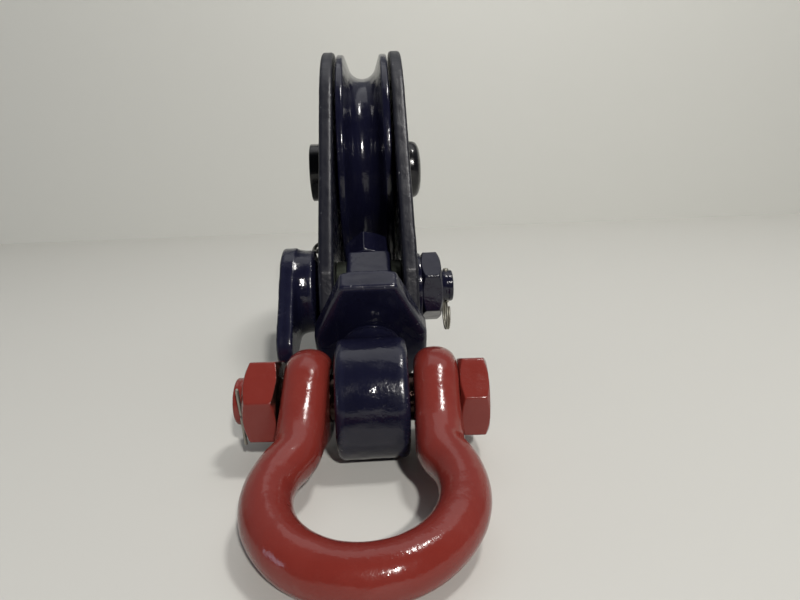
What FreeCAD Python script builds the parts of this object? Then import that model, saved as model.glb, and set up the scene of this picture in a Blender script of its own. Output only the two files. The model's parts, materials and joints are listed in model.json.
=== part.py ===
import FreeCAD, Part
import math
import os
import Sketcher
from FreeCAD import Placement, Rotation, Vector

# Snatch block with a swivel eye and a bolt-type anchor shackle, in millimetres.
# The block is drawn upright in its own frame: X runs along the centre pin, Z runs from the
# shackle bolt up to the centre pin, and Y points to the back. It is then laid back to the
# angle at which it leans, with the eye barrel and the shackle's crown on the floor at Z = 0.
doc = FreeCAD.newDocument("snatch_block")
sheet = doc.addObject("Spreadsheet::Sheet", "sizes")

# Driving dimensions: millimetres, and degrees where the name ends in angle
SIZES = {
    # Pose in which the block lies
    "lean_angle": 28.0,
    "cant_angle": 3.0,
    # Fits shared by all the pieces
    "side_clearance": 0.3,
    "running_clearance": 0.1,
    "snug_clearance": 0.02,
    # Side plates
    "plate_thickness": 10.0,
    "plate_guard": 2.0,
    "plate_foot_radius": 41.0,
    "plate_foot_clearance": 0.5,
    "plate_corner_angle": 58.0,
    "plate_toe_angle": 23.0,
    "plate_edge_round": 2.0,
    "hook_angle": 40.0,
    # Sheave and its bush
    "sheave_radius": 99.5,
    "sheave_width": 42.0,
    "rim_land": 5.7,
    "groove_depth": 20.0,
    "groove_radius": 12.0,
    "hub_wall": 11.0,
    "web_thickness": 14.0,
    "rim_wall": 12.0,
    "rim_shoulder": 11.0,
    "rim_edge": 1.5,
    "sheave_clearance": 14.2,
    "bush_wall": 6.0,
    # Centre pin
    "pin_radius": 19.0,
    "pin_head_overhang": 6.5,
    "pin_head_thickness": 16.5,
    "pin_head_round": 2.5,
    "pin_thread_step": 4.0,
    "pin_thread_length": 12.0,
    "dome_round": 7.0,
    "dome_crown": 4.5,
    "thrust_washer_radius": 34.0,
    "thrust_washer_thickness": 1.4,
    "lock_pin_radius": 2.5,
    "lock_pin_inset": 0.5,
    "nipple_recess_radius": 8.0,
    "nipple_recess_depth": 7.0,
    "nipple_flats": 9.0,
    "nipple_hex": 2.5,
    "nipple_tip_radius": 2.6,
    "nipple_tip_length": 3.5,
    # Yoke forging
    "flange_thickness": 15.0,
    "flange_half_width": 36.0,
    "flange_half_depth": 51.0,
    "flange_nose": 17.0,
    "flange_flat": 10.0,
    "flange_round": 2.5,
    "neck_width": 31.0,
    "neck_foot_depth": 66.0,
    "neck_top_depth": 36.0,
    "neck_flare": 24.0,
    "neck_rise": 20.5,
    "neck_round": 2.5,
    "trunnion_radius": 16.0,
    "trunnion_thread_step": 2.0,
    "stub_step": 3.0,
    "stub_chamfer": 1.5,
    "stub_length": 9.0,
    "lug_hub_radius": 29.0,
    "lug_hub_thickness": 12.0,
    "lug_shoulder_radius": 22.0,
    "lug_shoulder_thickness": 4.5,
    "lug_plate_radius": 31.0,
    "lug_plate_thickness": 10.0,
    "lug_tail_radius": 14.0,
    "lug_tail_gap": 5.4,
    "spacer_radius": 20.0,
    # Right-hand trunnion nut
    "trunnion_washer_radius": 24.0,
    "trunnion_washer_thickness": 3.0,
    "trunnion_nut_flats": 43.5,
    "trunnion_nut_thickness": 14.0,
    "trunnion_nut_angle": 32.0,
    "clip_pin_radius": 2.0,
    "clip_wire_radius": 1.3,
    "clip_loop_radius": 10.0,
    "clip_reach": 3.0,
    # Swivel eye and its nut
    "barrel_radius": 35.5,
    "barrel_width": 41.5,
    "barrel_round": 4.0,
    "collar_radius": 20.0,
    "collar_rise": 4.2,
    "collar_root": 9.5,
    "collar_washer_thickness": 2.0,
    "shank_radius": 12.0,
    "shank_thread_step": 1.0,
    "shank_end": 3.0,
    "swivel_nut_flats": 32.0,
    "swivel_nut_thickness": 24.0,
    "swivel_nut_angle": 11.0,
    "swivel_washer_radius": 18.5,
    "swivel_washer_thickness": 2.0,
    "swivel_pin_radius": 2.5,
    "nut_chamfer_angle": 30.0,
    "nut_chamfer_inset": 0.7,
    # Shackle
    "bar_radius": 12.7,
    "jaw_play": 3.5,
    "ear_radius": 30.0,
    "ear_thickness": 26.5,
    "ear_tail": 40.0,
    "ear_round": 11.5,
    "bow_radius": 47.0,
    "bow_drop": 80.0,
    "bow_neck_radius": 23.0,
    "bolt_radius": 14.0,
    "bolt_play": 0.3,
    "bolt_head_flats": 44.0,
    "bolt_head_thickness": 16.5,
    "bolt_nut_flats": 46.0,
    "bolt_nut_thickness": 19.5,
    "bolt_nut_gap": 2.5,
    "bolt_tail": 8.0,
    "bolt_end_round": 3.0,
    "cotter_radius": 1.9,
    "cotter_wire_radius": 1.1,
    "cotter_loop_radius": 2.4,
    "cotter_reach": 3.5,
    # Keeper clip on the swing plate
    "keeper_pin_radius": 2.0,
    "keeper_wire_radius": 1.3,
    "keeper_loop_radius": 4.2,
    "keeper_rise": 31.0,
    "keeper_stand": 5.0,
    "keeper_front": 12.0,
    "keeper_depth": 6.0,
}
for row, (word, number) in enumerate(SIZES.items(), start=1):
    sheet.set(f"A{row}", word)
    sheet.set(f"B{row}", str(number))
    sheet.setAlias(f"B{row}", word)
doc.recompute()

BODY_PLANES = {"XY": "XY_Plane", "XZ": "XZ_Plane", "YZ": "YZ_Plane"}
parts = {}


def formula(text):
    """A formula in size names, with each name looked up in the sheet."""
    words = []
    word = ""
    for letter in text + " ":
        if letter.isalnum() or letter == "_":
            word += letter
            continue
        words.append("sizes." + word if word in SIZES else word)
        words.append(letter)
        word = ""
    return "".join(words).strip()


def value(text):
    """The number that a formula in size names gives now."""
    result = sheet.evalExpression(formula(text))
    return float(getattr(result, "Value", result))


def bind(thing, prop, text):
    """Tie a property of an object to a formula in size names."""
    thing.setExpression(prop, formula(text))


def keep(node, thing, frame):
    """Name a finished sub-part, and note the frame in which it stands."""
    thing.Label = node
    parts[node] = (thing, frame)


# Sketch helpers: every point and radius is bound to a formula in size names
def sketch_on(body, plane, name, offset=None, rise=None):
    sketch = body.newObject("Sketcher::SketchObject", name)
    face = next(f for f in body.Origin.OriginFeatures if f.Role == BODY_PLANES[plane])
    sketch.AttachmentSupport = [(face, "")]
    sketch.MapMode = "FlatFace"
    if offset:
        bind(sketch, ".AttachmentOffset.Base.z", offset)
    if rise:
        bind(sketch, ".AttachmentOffset.Base.y", rise)
    return sketch


def pin_point(sketch, shape, corner, across, up):
    """Hold a point of a sketch at two formulas, measured from the sketch's origin."""
    for kind, text, axis in (("DistanceX", across, -2), ("DistanceY", up, -1)):
        number = value(text)
        if abs(number) < 1e-9:
            sketch.addConstraint(Sketcher.Constraint("PointOnObject", shape, corner, axis))
            continue
        if number > 0:
            rule = Sketcher.Constraint(kind, -1, 1, shape, corner, number)
            index = sketch.addConstraint(rule)
            bind(sketch, f"Constraints[{index}]", text)
        else:
            rule = Sketcher.Constraint(kind, shape, corner, -1, 1, -number)
            index = sketch.addConstraint(rule)
            bind(sketch, f"Constraints[{index}]", f"-({text})")


def circle(sketch, across, up, radius):
    centre = Vector(value(across), value(up), 0)
    shape = sketch.addGeometry(Part.Circle(centre, Vector(0, 0, 1), value(radius)), False)
    pin_point(sketch, shape, 3, across, up)
    index = sketch.addConstraint(Sketcher.Constraint("Radius", shape, value(radius)))
    bind(sketch, f"Constraints[{index}]", radius)


def outline(sketch, corners):
    """A closed outline of straight lines through corners given as pairs of formulas."""
    points = [Vector(value(a), value(b), 0) for a, b in corners]
    lines = []
    for start, end in zip(points, points[1:] + points[:1]):
        lines.append(sketch.addGeometry(Part.LineSegment(start, end), False))
    for line, after in zip(lines, lines[1:] + lines[:1]):
        sketch.addConstraint(Sketcher.Constraint("Coincident", line, 2, after, 1))
    for line, (across, up) in zip(lines, corners):
        pin_point(sketch, line, 1, across, up)


def mirrored(corners):
    """Corners of one side, followed by the same on the other side of the vertical axis."""
    return corners + [(f"-({across})", up) for across, up in reversed(corners)]


def capped_strip(sketch, top, top_radius, foot, foot_radius):
    """Two round ends on the vertical axis, joined by the two lines that touch both."""
    high, low = value(top), value(foot)
    big, small = value(top_radius), value(foot_radius)
    turn = math.asin((big - small) / (high - low))
    side = Vector(math.cos(turn), -math.sin(turn), 0)
    other = Vector(-side.x, side.y, 0)
    centre_high, centre_low = Vector(0, high, 0), Vector(0, low, 0)
    up = Vector(0, 0, 1)
    arc_high = Part.ArcOfCircle(Part.Circle(centre_high, up, big), -turn, math.pi + turn)
    arc_low = Part.ArcOfCircle(Part.Circle(centre_low, up, small), math.pi + turn, 2 * math.pi - turn)
    left = Part.LineSegment(centre_high + other * big, centre_low + other * small)
    right = Part.LineSegment(centre_low + side * small, centre_high + side * big)
    arc_a, line_a, arc_b, line_b = [sketch.addGeometry(g, False) for g in (arc_high, left, arc_low, right)]
    for one, one_end, two, two_end in (
        (arc_a, 2, line_a, 1),
        (line_a, 2, arc_b, 1),
        (arc_b, 2, line_b, 1),
        (line_b, 2, arc_a, 1),
    ):
        sketch.addConstraint(Sketcher.Constraint("Tangent", one, one_end, two, two_end))
    for arc, height, radius in ((arc_a, top, top_radius), (arc_b, foot, foot_radius)):
        pin_point(sketch, arc, 3, "0", height)
        index = sketch.addConstraint(Sketcher.Constraint("Radius", arc, value(radius)))
        bind(sketch, f"Constraints[{index}]", radius)


def hexagon(sketch, flats, turn="0"):
    """Six corners round the sketch's origin, the first of them turned from its first axis."""
    corners = []
    for step in range(6):
        angle = f"(({turn}) + {60 * step}) * 1 deg"
        corners.append((f"({flats}) / sqrt(3) * cos({angle})", f"({flats}) / sqrt(3) * sin({angle})"))
    outline(sketch, corners)


# Feature helpers
def pad(body, sketch, length, midplane=False):
    feature = body.newObject("PartDesign::Pad", "pad")
    feature.Profile = sketch
    bind(feature, "Length", length)
    feature.Midplane = midplane


def pocket(body, sketch, midplane=False, flip=False):
    feature = body.newObject("PartDesign::Pocket", "pocket")
    feature.Profile = sketch
    feature.Type = "ThroughAll"
    feature.Midplane = midplane
    feature.Reversed = flip


def revolve(body, sketch, axis="H_Axis", cut=False):
    kind = "PartDesign::Groove" if cut else "PartDesign::Revolution"
    feature = body.newObject(kind, "turned")
    feature.Profile = sketch
    feature.ReferenceAxis = (sketch, [axis])
    feature.Angle = 360.0


def round_edges(body, radius, test, chamfer=False):
    """Round or bevel the edges of the body's last feature that pass the test."""
    doc.recompute()
    base = body.Tip
    names = [f"Edge{i}" for i, edge in enumerate(base.Shape.Edges, start=1) if test(edge)]
    if not names:
        raise RuntimeError(f"no edge to round on {body.Name}")
    kind = "PartDesign::Chamfer" if chamfer else "PartDesign::Fillet"
    feature = body.newObject(kind, "edges")
    feature.Base = (base, names)
    bind(feature, "Size" if chamfer else "Radius", radius)


def near(number, target):
    return abs(number - target) < 1e-3


def lies_in(axis, place):
    """A test for edges that lie flat at one place along an axis."""
    def test(edge):
        box = edge.BoundBox
        low, high = getattr(box, axis + "Min"), getattr(box, axis + "Max")
        return near(low, place) and near(high, place)
    return test


def new_body(name):
    return doc.addObject("PartDesign::Body", name)


def plain_ring(node, frame, radius, bore, start, length, axis="X"):
    """A flat washer or bush: a disc with a hole, from start along its axis."""
    body = new_body(node)
    sketch = sketch_on(body, "YZ" if axis == "X" else "XY", "ring", start)
    circle(sketch, "0", "0", radius)
    circle(sketch, "0", "0", bore)
    pad(body, sketch, length)
    keep(node, body, frame)


def hex_piece(body, flats, start, length, axis="X", bore=None, turn="0"):
    """A hexagon with its corners turned off at the ends, and a bore if one is named."""
    plane = "YZ" if axis == "X" else "XY"
    sketch = sketch_on(body, plane, "hexagon", start)
    hexagon(sketch, flats, turn)
    if bore:
        circle(sketch, "0", "0", bore)
    pad(body, sketch, length)
    inner = f"(({flats}) / 2 - nut_chamfer_inset)"
    outer = f"(({flats}) / sqrt(3) + nut_chamfer_inset)"
    far = f"({outer} - {inner}) * tan(nut_chamfer_angle * 1 deg)"
    for place, sign in ((start, 1), (f"{start} + {length}", -1)):
        cut = sketch_on(body, "XZ", "corner")
        turned = [(place, inner), (place, outer), (f"{place} + {sign} * ({far})", outer)]
        if axis == "Z":
            turned = [(b, a) for a, b in turned]
        outline(cut, turned)
        revolve(body, cut, "H_Axis" if axis == "X" else "V_Axis", cut=True)


# Sizes and places worked out from the driving dimensions, as formulas
plate_inner = "(sheave_width / 2 + thrust_washer_thickness + 2 * side_clearance)"
plate_outer = f"({plate_inner} + plate_thickness)"
plate_top_radius = "(sheave_radius + plate_guard)"
plate_bore = "(trunnion_radius + running_clearance)"
lug_inner = f"({plate_outer} + side_clearance)"
lug_shoulder = f"({lug_inner} + lug_shoulder_thickness)"
lug_outer = f"({lug_shoulder} + lug_hub_thickness)"
washer_outer = f"({lug_inner} + trunnion_washer_thickness)"
nut_outer = f"({washer_outer} + trunnion_nut_thickness)"
stub_outer = f"({nut_outer} + stub_length)"
trunnion_thread_radius = "(trunnion_radius - trunnion_thread_step)"
stub_radius = f"({trunnion_thread_radius} - stub_step)"
collar_top = "(barrel_radius + collar_rise)"
flange_bottom = f"({collar_top} + collar_washer_thickness + side_clearance)"
flange_top = f"({flange_bottom} + flange_thickness)"
trunnion_height = f"({flange_top} + plate_foot_radius + plate_foot_clearance)"
neck_top = f"({trunnion_height} + neck_rise)"
swivel_washer_base = f"({neck_top} + side_clearance)"
swivel_nut_base = f"({swivel_washer_base} + swivel_washer_thickness)"
swivel_nut_top = f"({swivel_nut_base} + swivel_nut_thickness)"
swivel_pin_height = f"({swivel_nut_base} + swivel_nut_thickness / 2)"
shank_top = f"({swivel_nut_top} + shank_end)"
axle_height = f"({shank_top} + sheave_clearance + sheave_radius)"
keeper_height = f"({trunnion_height} + keeper_rise)"
shank_thread_radius = "(shank_radius - shank_thread_step)"
bush_radius = "(pin_radius + bush_wall)"
pin_head_radius = "(pin_radius + pin_head_overhang)"
pin_thread_radius = "(pin_radius - pin_thread_step)"
pin_head_inner = f"({plate_outer} + side_clearance)"
pin_head_outer = f"({pin_head_inner} + pin_head_thickness)"
dome_thickness = "(pin_thread_length + dome_crown)"
lock_pin_place = f"({plate_outer} + pin_thread_length / 2)"
lock_pin_length = f"(2 * {pin_head_radius} - 2 * lock_pin_inset)"
jaw_half = "(barrel_width / 2 + jaw_play)"
leg_centre = f"({jaw_half} + ear_thickness / 2)"
ear_outer = f"({jaw_half} + ear_thickness)"
bolt_nut_inner = f"({ear_outer} + bolt_nut_gap)"
bolt_nut_outer = f"({bolt_nut_inner} + bolt_nut_thickness)"
bolt_end = f"({bolt_nut_outer} + bolt_tail)"
cotter_place = f"({bolt_nut_outer} + cotter_radius + side_clearance)"
lug_tail_height = "(bolt_nut_flats / sqrt(3) + lug_tail_gap + lug_tail_radius)"
# The bore of the barrel is as wide as the bolt needs to lie canted in it
cant_fall = "(barrel_width / 2 * tan(cant_angle * 1 deg))"
barrel_bore_radius = f"(bolt_radius / cos(cant_angle * 1 deg) + {cant_fall} + side_clearance)"


# Side plates: the right one is fixed, and the left one swings open on the centre pin
def plate_outline(sketch):
    """A round top, two straight sides that touch it, and a foot with four corners on a circle."""
    corners = []
    for angle in ("plate_corner_angle", "plate_toe_angle"):
        across = f"plate_foot_radius * sin({angle} * 1 deg)"
        up = f"{trunnion_height} - plate_foot_radius * cos({angle} * 1 deg)"
        corners.append((across, up))
    corners += [(f"-({across})", up) for across, up in reversed(corners)]
    foot = [Vector(value(a), value(b), 0) for a, b in corners]
    top, radius = Vector(0, value(axle_height), 0), value(plate_top_radius)
    drop = foot[0] - top
    turn = math.atan2(drop.y, drop.x) + math.acos(radius / drop.Length)
    touch_right = top + Vector(math.cos(turn), math.sin(turn), 0) * radius
    touch_left = Vector(-touch_right.x, touch_right.y, 0)
    arc = sketch.addGeometry(
        Part.ArcOfCircle(Part.Circle(top, Vector(0, 0, 1), radius), turn, math.pi - turn), False
    )
    chain = [Part.LineSegment(a, b) for a, b in zip([touch_right] + foot, foot + [touch_left])]
    sides = [sketch.addGeometry(line, False) for line in chain]
    for one, two in zip(sides, sides[1:]):
        sketch.addConstraint(Sketcher.Constraint("Coincident", one, 2, two, 1))
    sketch.addConstraint(Sketcher.Constraint("Tangent", arc, 1, sides[0], 1))
    sketch.addConstraint(Sketcher.Constraint("Tangent", sides[-1], 2, arc, 2))
    for side, (across, up) in zip(sides, corners):
        pin_point(sketch, side, 2, across, up)
    pin_point(sketch, arc, 3, "0", axle_height)
    index = sketch.addConstraint(Sketcher.Constraint("Radius", arc, radius))
    bind(sketch, f"Constraints[{index}]", plate_top_radius)


def hook_mouth(sketch):
    """A band round the centre pin, as wide as the trunnion's seat, out through the back edge."""
    top, reach = Vector(0, value(axle_height), 0), value(f"{axle_height} - {trunnion_height}")
    seat, end = value(plate_bore), math.radians(value("hook_angle"))
    up = Vector(0, 0, 1)
    start = -math.pi / 2
    inner, outer = [
        Part.ArcOfCircle(Part.Circle(top, up, radius), start, start + end)
        for radius in (reach - seat, reach + seat)
    ]
    seat_side = Part.LineSegment(inner.StartPoint, outer.StartPoint)
    open_side = Part.LineSegment(inner.EndPoint, outer.EndPoint)
    arc_in, arc_out, line_a, line_b = [
        sketch.addGeometry(piece, False) for piece in (inner, outer, seat_side, open_side)
    ]
    for one, one_end, two, two_end in (
        (arc_in, 1, line_a, 1),
        (arc_out, 1, line_a, 2),
        (arc_in, 2, line_b, 1),
        (arc_out, 2, line_b, 2),
    ):
        sketch.addConstraint(Sketcher.Constraint("Coincident", one, one_end, two, two_end))
    for arc, sign in ((arc_in, "-"), (arc_out, "+")):
        radius = f"{axle_height} - {trunnion_height} {sign} {plate_bore}"
        pin_point(sketch, arc, 3, "0", axle_height)
        index = sketch.addConstraint(Sketcher.Constraint("Radius", arc, value(radius)))
        bind(sketch, f"Constraints[{index}]", radius)
    sketch.addConstraint(Sketcher.Constraint("PointOnObject", line_a, 1, -2))
    sketch.addConstraint(Sketcher.Constraint("PointOnObject", line_a, 2, -2))
    index = sketch.addConstraint(Sketcher.Constraint("Angle", line_a, 2, line_b, 2, end))
    bind(sketch, f"Constraints[{index}]", "hook_angle * 1 deg")


def side_plate(node, start, hook):
    body = new_body(node)
    blank = sketch_on(body, "YZ", "blank", start)
    plate_outline(blank)
    pad(body, blank, "plate_thickness")
    round_edges(body, "plate_edge_round", lambda edge: edge.BoundBox.XLength < 1e-3)
    pin_hole = sketch_on(body, "YZ", "pin_hole", start)
    circle(pin_hole, "0", axle_height, "pin_radius + running_clearance")
    pocket(body, pin_hole, flip=True)
    if hook:
        # The mouth bends round the centre pin, so the plate can leave its trunnion as it swings
        mouth = sketch_on(body, "YZ", "hook", start)
        hook_mouth(mouth)
        pocket(body, mouth, flip=True)
    seat = sketch_on(body, "YZ", "seat", start)
    circle(seat, "0", trunnion_height, plate_bore)
    pocket(body, seat, flip=True)
    if hook:
        socket = sketch_on(body, "YZ", "keeper_socket", f"-({plate_outer} - keeper_depth)")
        circle(socket, "-keeper_front", keeper_height, "keeper_pin_radius")
        pocket(body, socket)
    keep(node, body, "block")


side_plate("fixed_side_plate", plate_inner, hook=False)
side_plate("swing_side_plate", f"-{plate_outer}", hook=True)


# Keeper: a pin in the swing plate, with a wire loop for its lanyard
def plate_keeper():
    stem = doc.addObject("Part::Cylinder", "plate_keeper_stem")
    stem.Placement = Placement(Vector(), Rotation(Vector(0, 1, 0), -90))
    bind(stem, "Radius", "keeper_pin_radius - snug_clearance")
    bind(stem, "Height", "keeper_depth + keeper_stand")
    bind(stem, "Placement.Base.x", f"-({plate_outer} - keeper_depth)")
    bind(stem, "Placement.Base.y", "-keeper_front")
    bind(stem, "Placement.Base.z", keeper_height)
    loop = doc.addObject("Part::Torus", "plate_keeper_loop")
    loop.Placement = Placement(Vector(), Rotation(Vector(0, 1, 0), 90))
    bind(loop, "Radius1", "keeper_loop_radius")
    bind(loop, "Radius2", "keeper_wire_radius")
    bind(loop, "Placement.Base.x", f"-({plate_outer} + keeper_stand - keeper_wire_radius / 2)")
    bind(loop, "Placement.Base.y", "-keeper_front")
    bind(loop, "Placement.Base.z", f"{keeper_height} + keeper_loop_radius")
    both = doc.addObject("Part::Fuse", "plate_keeper")
    both.Base = stem
    both.Tool = loop
    keep("plate_keeper", both, "block")


plate_keeper()


# Sheave: one turned profile with a hub, a web and a grooved rim
def sheave():
    body = new_body("sheave")
    sketch = sketch_on(body, "XZ", "profile")
    half = "sheave_width / 2"
    hub_radius = f"({bush_radius} + hub_wall)"
    rim_inner_radius = "(sheave_radius - groove_depth - rim_wall)"
    corners = [
        (half, bush_radius),
        (half, hub_radius),
        ("web_thickness / 2", f"{hub_radius} + (sheave_width - web_thickness) / 4"),
        ("web_thickness / 2", rim_inner_radius),
        (half, f"{rim_inner_radius} + rim_shoulder"),
        (half, "sheave_radius - rim_edge"),
        (f"{half} - rim_edge", "sheave_radius"),
        (f"{half} - rim_land", "sheave_radius"),
    ]
    centre_up = "sheave_radius - groove_depth + groove_radius"
    rim = Vector(value(f"{half} - rim_land"), value("sheave_radius"), 0)
    centre = Vector(0, value(centre_up), 0)
    away = rim - centre
    bend = value("groove_radius")
    turn = math.atan2(away.y, away.x) - math.acos(bend / away.Length)
    touch = centre + Vector(math.cos(turn), math.sin(turn), 0) * bend
    right = [Vector(value(a), value(b), 0) for a, b in corners]
    left = [Vector(-p.x, p.y, 0) for p in reversed(right)]
    wall_right = Part.LineSegment(right[-1], touch)
    bottom = Part.ArcOfCircle(Part.Circle(centre, Vector(0, 0, 1), bend), math.pi - turn, 2 * math.pi + turn)
    wall_left = Part.LineSegment(Vector(-touch.x, touch.y, 0), left[0])
    chain = [Part.LineSegment(a, b) for a, b in zip(right, right[1:])]
    lines_right = [sketch.addGeometry(line, False) for line in chain]
    down = sketch.addGeometry(wall_right, False)
    arc = sketch.addGeometry(bottom, False)
    climb = sketch.addGeometry(wall_left, False)
    chain = [Part.LineSegment(a, b) for a, b in zip(left, left[1:] + right[:1])]
    lines_left = [sketch.addGeometry(line, False) for line in chain]
    sketch.addConstraint(Sketcher.Constraint("Tangent", down, 2, arc, 2))
    sketch.addConstraint(Sketcher.Constraint("Tangent", arc, 1, climb, 1))
    ring = lines_right + [down], [climb] + lines_left
    for run in ring:
        for one, two in zip(run, run[1:]):
            sketch.addConstraint(Sketcher.Constraint("Coincident", one, 2, two, 1))
    sketch.addConstraint(Sketcher.Constraint("Coincident", lines_left[-1], 2, lines_right[0], 1))
    for line, (across, up) in zip(lines_right + [down], corners):
        pin_point(sketch, line, 1, across, up)
    for line, (across, up) in zip(lines_left, reversed(corners)):
        pin_point(sketch, line, 1, f"-({across})", up)
    pin_point(sketch, arc, 3, "0", centre_up)
    index = sketch.addConstraint(Sketcher.Constraint("Radius", arc, bend))
    bind(sketch, f"Constraints[{index}]", "groove_radius")
    revolve(body, sketch)
    keep("sheave", body, "axle")


sheave()


# Bush in the sheave, and the thrust washers on each side of its hub
pin_bore = "pin_radius + running_clearance"
bush_outer = f"{bush_radius} - snug_clearance"
plain_ring("sheave_bush", "axle", bush_outer, pin_bore, "-sheave_width / 2", "sheave_width")
thrust_inner = "(sheave_width / 2 + side_clearance)"
for side, thrust_start in (("right", thrust_inner), ("left", f"-({thrust_inner} + thrust_washer_thickness)")):
    plain_ring(
        f"thrust_washer_{side}",
        "axle",
        "thrust_washer_radius",
        pin_bore,
        thrust_start,
        "thrust_washer_thickness",
    )


def cross_hole(body, radius, place):
    """A hole along Y through a piece that lies along X, at one place on X."""
    sketch = sketch_on(body, "XZ", "cross_hole")
    circle(sketch, place, "0", radius)
    pocket(body, sketch, midplane=True)


# Centre pin: a flat head on the left, and a threaded end for the dome nut on the right
def centre_pin():
    body = new_body("centre_pin")
    sketch = sketch_on(body, "XZ", "profile")
    recess_floor = f"-({pin_head_outer} - nipple_recess_depth)"
    outline(sketch, [
        (recess_floor, "0"),
        (recess_floor, "nipple_recess_radius"),
        (f"-{pin_head_outer}", "nipple_recess_radius"),
        (f"-{pin_head_outer}", pin_head_radius),
        (f"-{pin_head_inner}", pin_head_radius),
        (f"-{pin_head_inner}", "pin_radius"),
        (plate_outer, "pin_radius"),
        (plate_outer, pin_thread_radius),
        (f"{plate_outer} + pin_thread_length", pin_thread_radius),
        (f"{plate_outer} + pin_thread_length", "0"),
    ])
    revolve(body, sketch)
    head = value(pin_head_radius)
    outer = -value(pin_head_outer)

    def head_rim(edge):
        return lies_in("X", outer)(edge) and near(edge.BoundBox.YMax, head)

    round_edges(body, "pin_head_round", head_rim)
    cross_hole(body, "lock_pin_radius", lock_pin_place)
    keep("centre_pin", body, "axle")


def dome_nut():
    body = new_body("centre_pin_dome_nut")
    sketch = sketch_on(body, "XZ", "profile")
    thread = f"{pin_thread_radius} + snug_clearance"
    floor = f"{plate_outer} + pin_thread_length + snug_clearance"
    outline(sketch, [
        (plate_outer, thread),
        (plate_outer, pin_head_radius),
        (f"{plate_outer} + {dome_thickness}", pin_head_radius),
        (f"{plate_outer} + {dome_thickness}", "0"),
        (floor, "0"),
        (floor, thread),
    ])
    revolve(body, sketch)
    round_edges(body, "dome_round", lies_in("X", value(f"{plate_outer} + {dome_thickness}")))
    cross_hole(body, "lock_pin_radius", lock_pin_place)
    keep("centre_pin_dome_nut", body, "axle")


def rod(node, frame, plane, across, up, radius, start, length):
    """A plain round pin, square to one plane."""
    body = new_body(node)
    sketch = sketch_on(body, plane, "section", start)
    circle(sketch, across, up, radius)
    pad(body, sketch, length)
    keep(node, body, frame)


def grease_nipple():
    body = new_body("grease_nipple")
    floor = f"-({pin_head_outer} - nipple_recess_depth)"
    sketch = sketch_on(body, "YZ", "hexagon", f"{floor} - nipple_hex")
    hexagon(sketch, "nipple_flats")
    pad(body, sketch, "nipple_hex")
    tip = sketch_on(body, "YZ", "tip", f"{floor} - nipple_hex - nipple_tip_length")
    circle(tip, "0", "0", "nipple_tip_radius")
    pad(body, tip, "nipple_tip_length")
    end = value(f"{floor} - nipple_hex - nipple_tip_length")
    round_edges(body, "nipple_tip_radius / 2", lies_in("X", end))
    keep("grease_nipple", body, "axle")


centre_pin()
dome_nut()
rod(
    "dome_nut_lock_pin",
    "axle",
    "XZ",
    lock_pin_place,
    "0",
    "lock_pin_radius - snug_clearance",
    f"-{lock_pin_length} / 2",
    lock_pin_length,
)
grease_nipple()


# Yoke: a forged head with an eight-sided flange, a neck, two trunnions and the left-hand lug
def yoke():
    body = new_body("yoke")
    flange = sketch_on(body, "XY", "flange", flange_bottom)
    right = [
        ("flange_nose", "-flange_half_depth"),
        ("flange_half_width", "-flange_flat"),
        ("flange_half_width", "flange_flat"),
        ("flange_nose", "flange_half_depth"),
    ]
    outline(flange, mirrored(right))
    pad(body, flange, "flange_thickness")
    round_edges(body, "flange_round", lambda edge: True)
    neck = sketch_on(body, "YZ", "neck")
    right = [
        ("neck_foot_depth / 2", f"{flange_top} - flange_round"),
        ("neck_foot_depth / 2", f"{flange_top} + flange_round"),
        ("neck_top_depth / 2", f"{flange_top} + neck_flare"),
        ("neck_top_depth / 2", neck_top),
    ]
    outline(neck, mirrored(right))
    pad(body, neck, "neck_width", midplane=True)
    half, base, top = value("neck_width / 2"), value(flange_top), value(neck_top)

    def neck_corner(edge):
        box = edge.BoundBox
        on_side = near(abs(box.XMin), half) and near(box.XMin, box.XMax)
        return on_side and box.ZMax > base + 1 and box.ZMin > base - 1 and not near(box.ZMin, top)

    round_edges(body, "neck_round", neck_corner)
    shaft = sketch_on(body, "XZ", "trunnions", rise=trunnion_height)
    outline(shaft, [
        (f"-{lug_outer}", "0"),
        (f"-{lug_outer}", "lug_hub_radius"),
        (f"-{lug_shoulder}", "lug_hub_radius"),
        (f"-{lug_shoulder}", "lug_shoulder_radius"),
        (f"-{lug_inner}", "lug_shoulder_radius"),
        (f"-{lug_inner}", "trunnion_radius"),
        (lug_inner, "trunnion_radius"),
        (lug_inner, trunnion_thread_radius),
        (nut_outer, trunnion_thread_radius),
        (nut_outer, stub_radius),
        (f"{stub_outer} - stub_chamfer", stub_radius),
        (stub_outer, f"{stub_radius} - stub_chamfer"),
        (stub_outer, "0"),
    ])
    revolve(body, shaft)
    lug = sketch_on(body, "YZ", "lug", f"-({lug_outer} + lug_plate_thickness)")
    capped_strip(lug, trunnion_height, "lug_plate_radius", lug_tail_height, "lug_tail_radius")
    pad(body, lug, "lug_plate_thickness")
    far_face = -value(f"{lug_outer} + lug_plate_thickness")
    round_edges(body, "plate_edge_round", lies_in("X", far_face))
    bore = sketch_on(body, "XY", "bore")
    circle(bore, "0", "0", "shank_radius + running_clearance")
    pocket(body, bore, midplane=True)
    # The clip's hole stands upright once the block leans
    hole = sketch_on(body, "XY", "clip_hole")
    hole.AttachmentOffset = Placement(Vector(), Rotation(Vector(1, 0, 0), 1))
    bind(hole, ".AttachmentOffset.Base.z", trunnion_height)
    bind(hole, ".AttachmentOffset.Rotation.Angle", "90 - lean_angle")
    circle(hole, clip_place, "0", "clip_pin_radius + snug_clearance")
    pocket(body, hole, midplane=True)
    keep("yoke", body, "block")


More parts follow.
